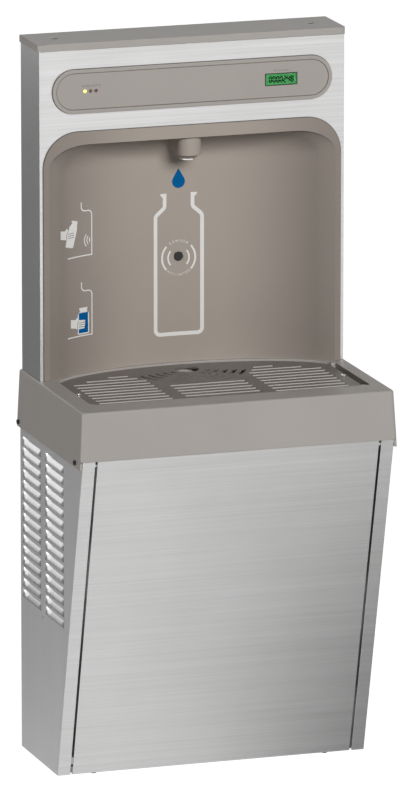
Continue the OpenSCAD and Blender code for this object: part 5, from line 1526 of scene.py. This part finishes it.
@dataclass
class Louvres(Group):
    """Louvre blade faces in a brighter, glossier copy of the side sheet, which paints the highlight that the
    blades catch, and a black sheet in the gap above each blade, which paints the shade inside the opening.

    Attributes:
        half: Half width of the cabinet.
        top: Top of the first louvre.
        pitch: Distance from louvre to louvre.
        count: Louvres in a column.
        length: Length of a louvre.
        high: Height of its opening.
        deep: Depth that its blade is pressed in.
        rise: Share of the opening that the blade fills.
        columns: Y of the rear end of each column.
        ease: Length over which a blade's end rises out of the sheet.
        along: Places along a louvre, as shares of its length.
        up: Places up a blade's face and up the black sheet of painted shade, as shares of their heights.
        gap: How far a face keeps from the ends of its louvre.
        sheet: How far a blade's face stands out from the sheet's, and how far the black sheet of painted shade
            lies behind it.
    """

    half: float = 230.5
    top: float = 461.0
    pitch: float = 16.05
    count: int = 15
    length: float = 88.0
    high: float = 12.5
    deep: float = 6.0
    rise: float = 0.64
    columns: Flat = (-10.0, -118.0)
    ease: float = 13.0
    along: tuple = (0.0, 0.02, 0.045, 0.07, 0.1, 0.14, 0.2, 0.5, 0.8, 0.86, 0.9, 0.93, 0.955, 0.98, 1.0)
    up: tuple = ((0.0, 0.15, 0.35, 0.6, 0.8, 1.0), (0.0, 0.5, 1.0))
    gap: float = 0.3
    sheet: Flat = (0.06, 0.1)

    def build(self) -> None:
        """Build the blade faces with their painted highlight, and the black sheets of painted shade, on both
        sides.
        """
        for side, word in ((-1, "left"), (1, "right")):
            # Blade faces carry a painted highlight; the black sheets behind the openings are painted shade.
            for part, finish in (("blades", "blade_painted_highlight"), ("painted_shade_sheet", "black_frame_and_painted_shade")):
                form = bmesh.new()
                for column in self.columns:
                    for i in range(self.count):
                        low = self.top - self.high - i * self.pitch
                        self.press(form, side, column, low, part == "blades")
                self.box.piece(sculpt(f"{word}_louvre_{part}", form, smooth=True), finish)

    def press(self, form: Form, side: int, rear: float, low: float, blade: bool) -> None:
        """Add one blade's face, or the black sheet of painted shade above it.

        Args:
            form: Mesh that takes it.
            side: -1 for the left side and 1 for the right.
            rear: Y of its rear end.
            low: Height of its lower edge.
            blade: Whether it is the blade rather than the black sheet of painted shade.
        """
        rows = []
        for u in self.along:
            near = min(u, 1 - u) * self.length / self.ease
            bulge = self.deep * math.sin(min(1.0, near) * math.pi / 2) ** 1.5
            edge = self.high * (1 - (1 - self.rise) * bulge / self.deep)
            if blade:
                spots = [(self.sheet[0] - bulge * s ** 1.25, edge * s) for s in self.up[0]]
            else:
                rest = self.high - edge
                spots = [(-self.sheet[1] - bulge * (1 - s), edge + rest * s) for s in self.up[1]]
            y = rear - self.gap - u * (self.length - 2 * self.gap)
            rows.append(row(form, [(side * (self.half + a), y, low + b) for a, b in spots]))
        loft(form, rows)


@dataclass
class Runs(Group):
    """Round tubes and wires, in place of the CAD's eight-sided ones.

    Attributes:
        water: Routes of the water tubes.
        gas: Routes of the thin refrigerant lines, each with its radius.
        wire: Route of the wire harness.
        radii: Radius of the water tubes, the evaporator's tube, the wires and the spring's wire.
        bend: Radius of the bends in the water tubes and wires, and in the refrigerant lines.
        ports: Ends of the evaporator.
        coil: Middle of the evaporator's lowest turn.
        coil_size: Radius, height and number of its turns.
        spring: Middle of the spring's lowest turn.
        spring_size: Radius, height and number of its turns.
    """

    water: tuple = (
        ((62, -30, 142), (62, -30, 488.3), (62, -184, 488.3), (99, -184, 488.3)),
        ((181, -184, 488.3), (201, -184, 488.3), (201, -76, 472), (158, -76, 472), (158, -76, 452)),
        ((122, -76, 452), (122, -76, 488.3), (129.6, -16, 488.3), (129.6, -16, 913), (129.6, -42, 934),
         (94, -42, 934)),
        ((38, -42, 934), (-54, -42, 934), (-54, -62, 913.5), (-34, -62, 913.5)))
    gas: tuple = (
        (3.2, ((-124, -88, 216), (-124, -88, 230), (-124, -218.4, 230), (-186, -218.4, 230),
               (-186, -218.4, 429), (-212.3, -218.4, 429), (-212.3, -198.4, 429))),
        (3.2, ((-212.3, -198.4, 261), (-212.3, -208.4, 261), (30, -208.4, 261), (30, -150, 261),
               (30, -150, 168))),
        (2.5, ((30, -150, 84), (30, -150, 56), (185.2, -168, 56), (185.2, -168, 280), (185.2, -148, 280))),
        (3.2, ((94.8, -148, 400), (94.8, -168, 400), (94.8, -168, 244), (-76, -168, 244), (-76, -88, 244),
               (-76, -88, 216))))
    wire: tuple = ((-126, -82.4, 956.5), (-126, -18, 956.5), (-126, -18, 191), (180, -18, 191),
                   (180, -18, 146))
    radii: tuple = (4.8, 2.5, 3.0, 0.5)
    bend: Flat = (10.0, 8.0)
    ports: tuple = ((185.2, -148, 280), (94.8, -148, 400))
    coil: Point = (140, -76, 280)
    coil_size: Point = (45.187, 120, 4.5)
    spring: Point = (66, -42, 955.5)
    spring_size: Point = (3.2, 12, 5)

    def build(self) -> None:
        """Build every run."""
        water, coil, wire, thin = self.radii
        wide, tight = self.bend
        start, end = (Vector(p) for p in self.ports)
        self.tube("water_tubes", "clear_tube", [(water, rounded(route, wide)) for route in self.water])
        lines = [(radius, rounded(route, tight)) for radius, route in self.gas]
        self.tube("refrigerant_lines", "copper", lines)
        path = [start] + helix(self.coil, *self.coil_size, 32) + [end]
        self.tube("evaporator_coil", "copper", [(coil, path)])
        self.tube("wire_harness", "black_rubber", [(wire, rounded(self.wire, wide))])
        turns = helix(self.spring, *self.spring_size, 24)
        spring = self.tube("plunger_spring", "bright_metal", [(thin, turns)], 8)
        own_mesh(spring)

    def tube(self, node: str, finish: str, runs: list[tuple[float, list[Vector]]],
             sides: int = 16) -> Thing:
        """Build the round form of one CAD node.

        Args:
            node: The node.
            finish: Finish of the piece.
            runs: Radius and points of each tube.
            sides: Number of points round a tube.

        Returns:
            The piece.
        """
        form = bmesh.new()
        for radius, path in runs:
            sweep(form, path, radius, sides)
        thing = sculpt(f"round_{node}", form, smooth=True)
        self.box.piece(thing, finish, node=node)
        return thing


def main() -> None:
    """Build the scene in order."""
    logging.basicConfig(level=logging.INFO, format="%(message)s")
    bpy.context.scene.view_settings.view_transform = "Standard"
    box = Paintbox()
    Studio().build()
    for group in (Carried, Mouldings, Skin, AlcoveArt, PanelArt, Seals, Collar, SlotWalls, Louvres, Runs):
        group(box).build()


if __name__ == "__main__":
    main()
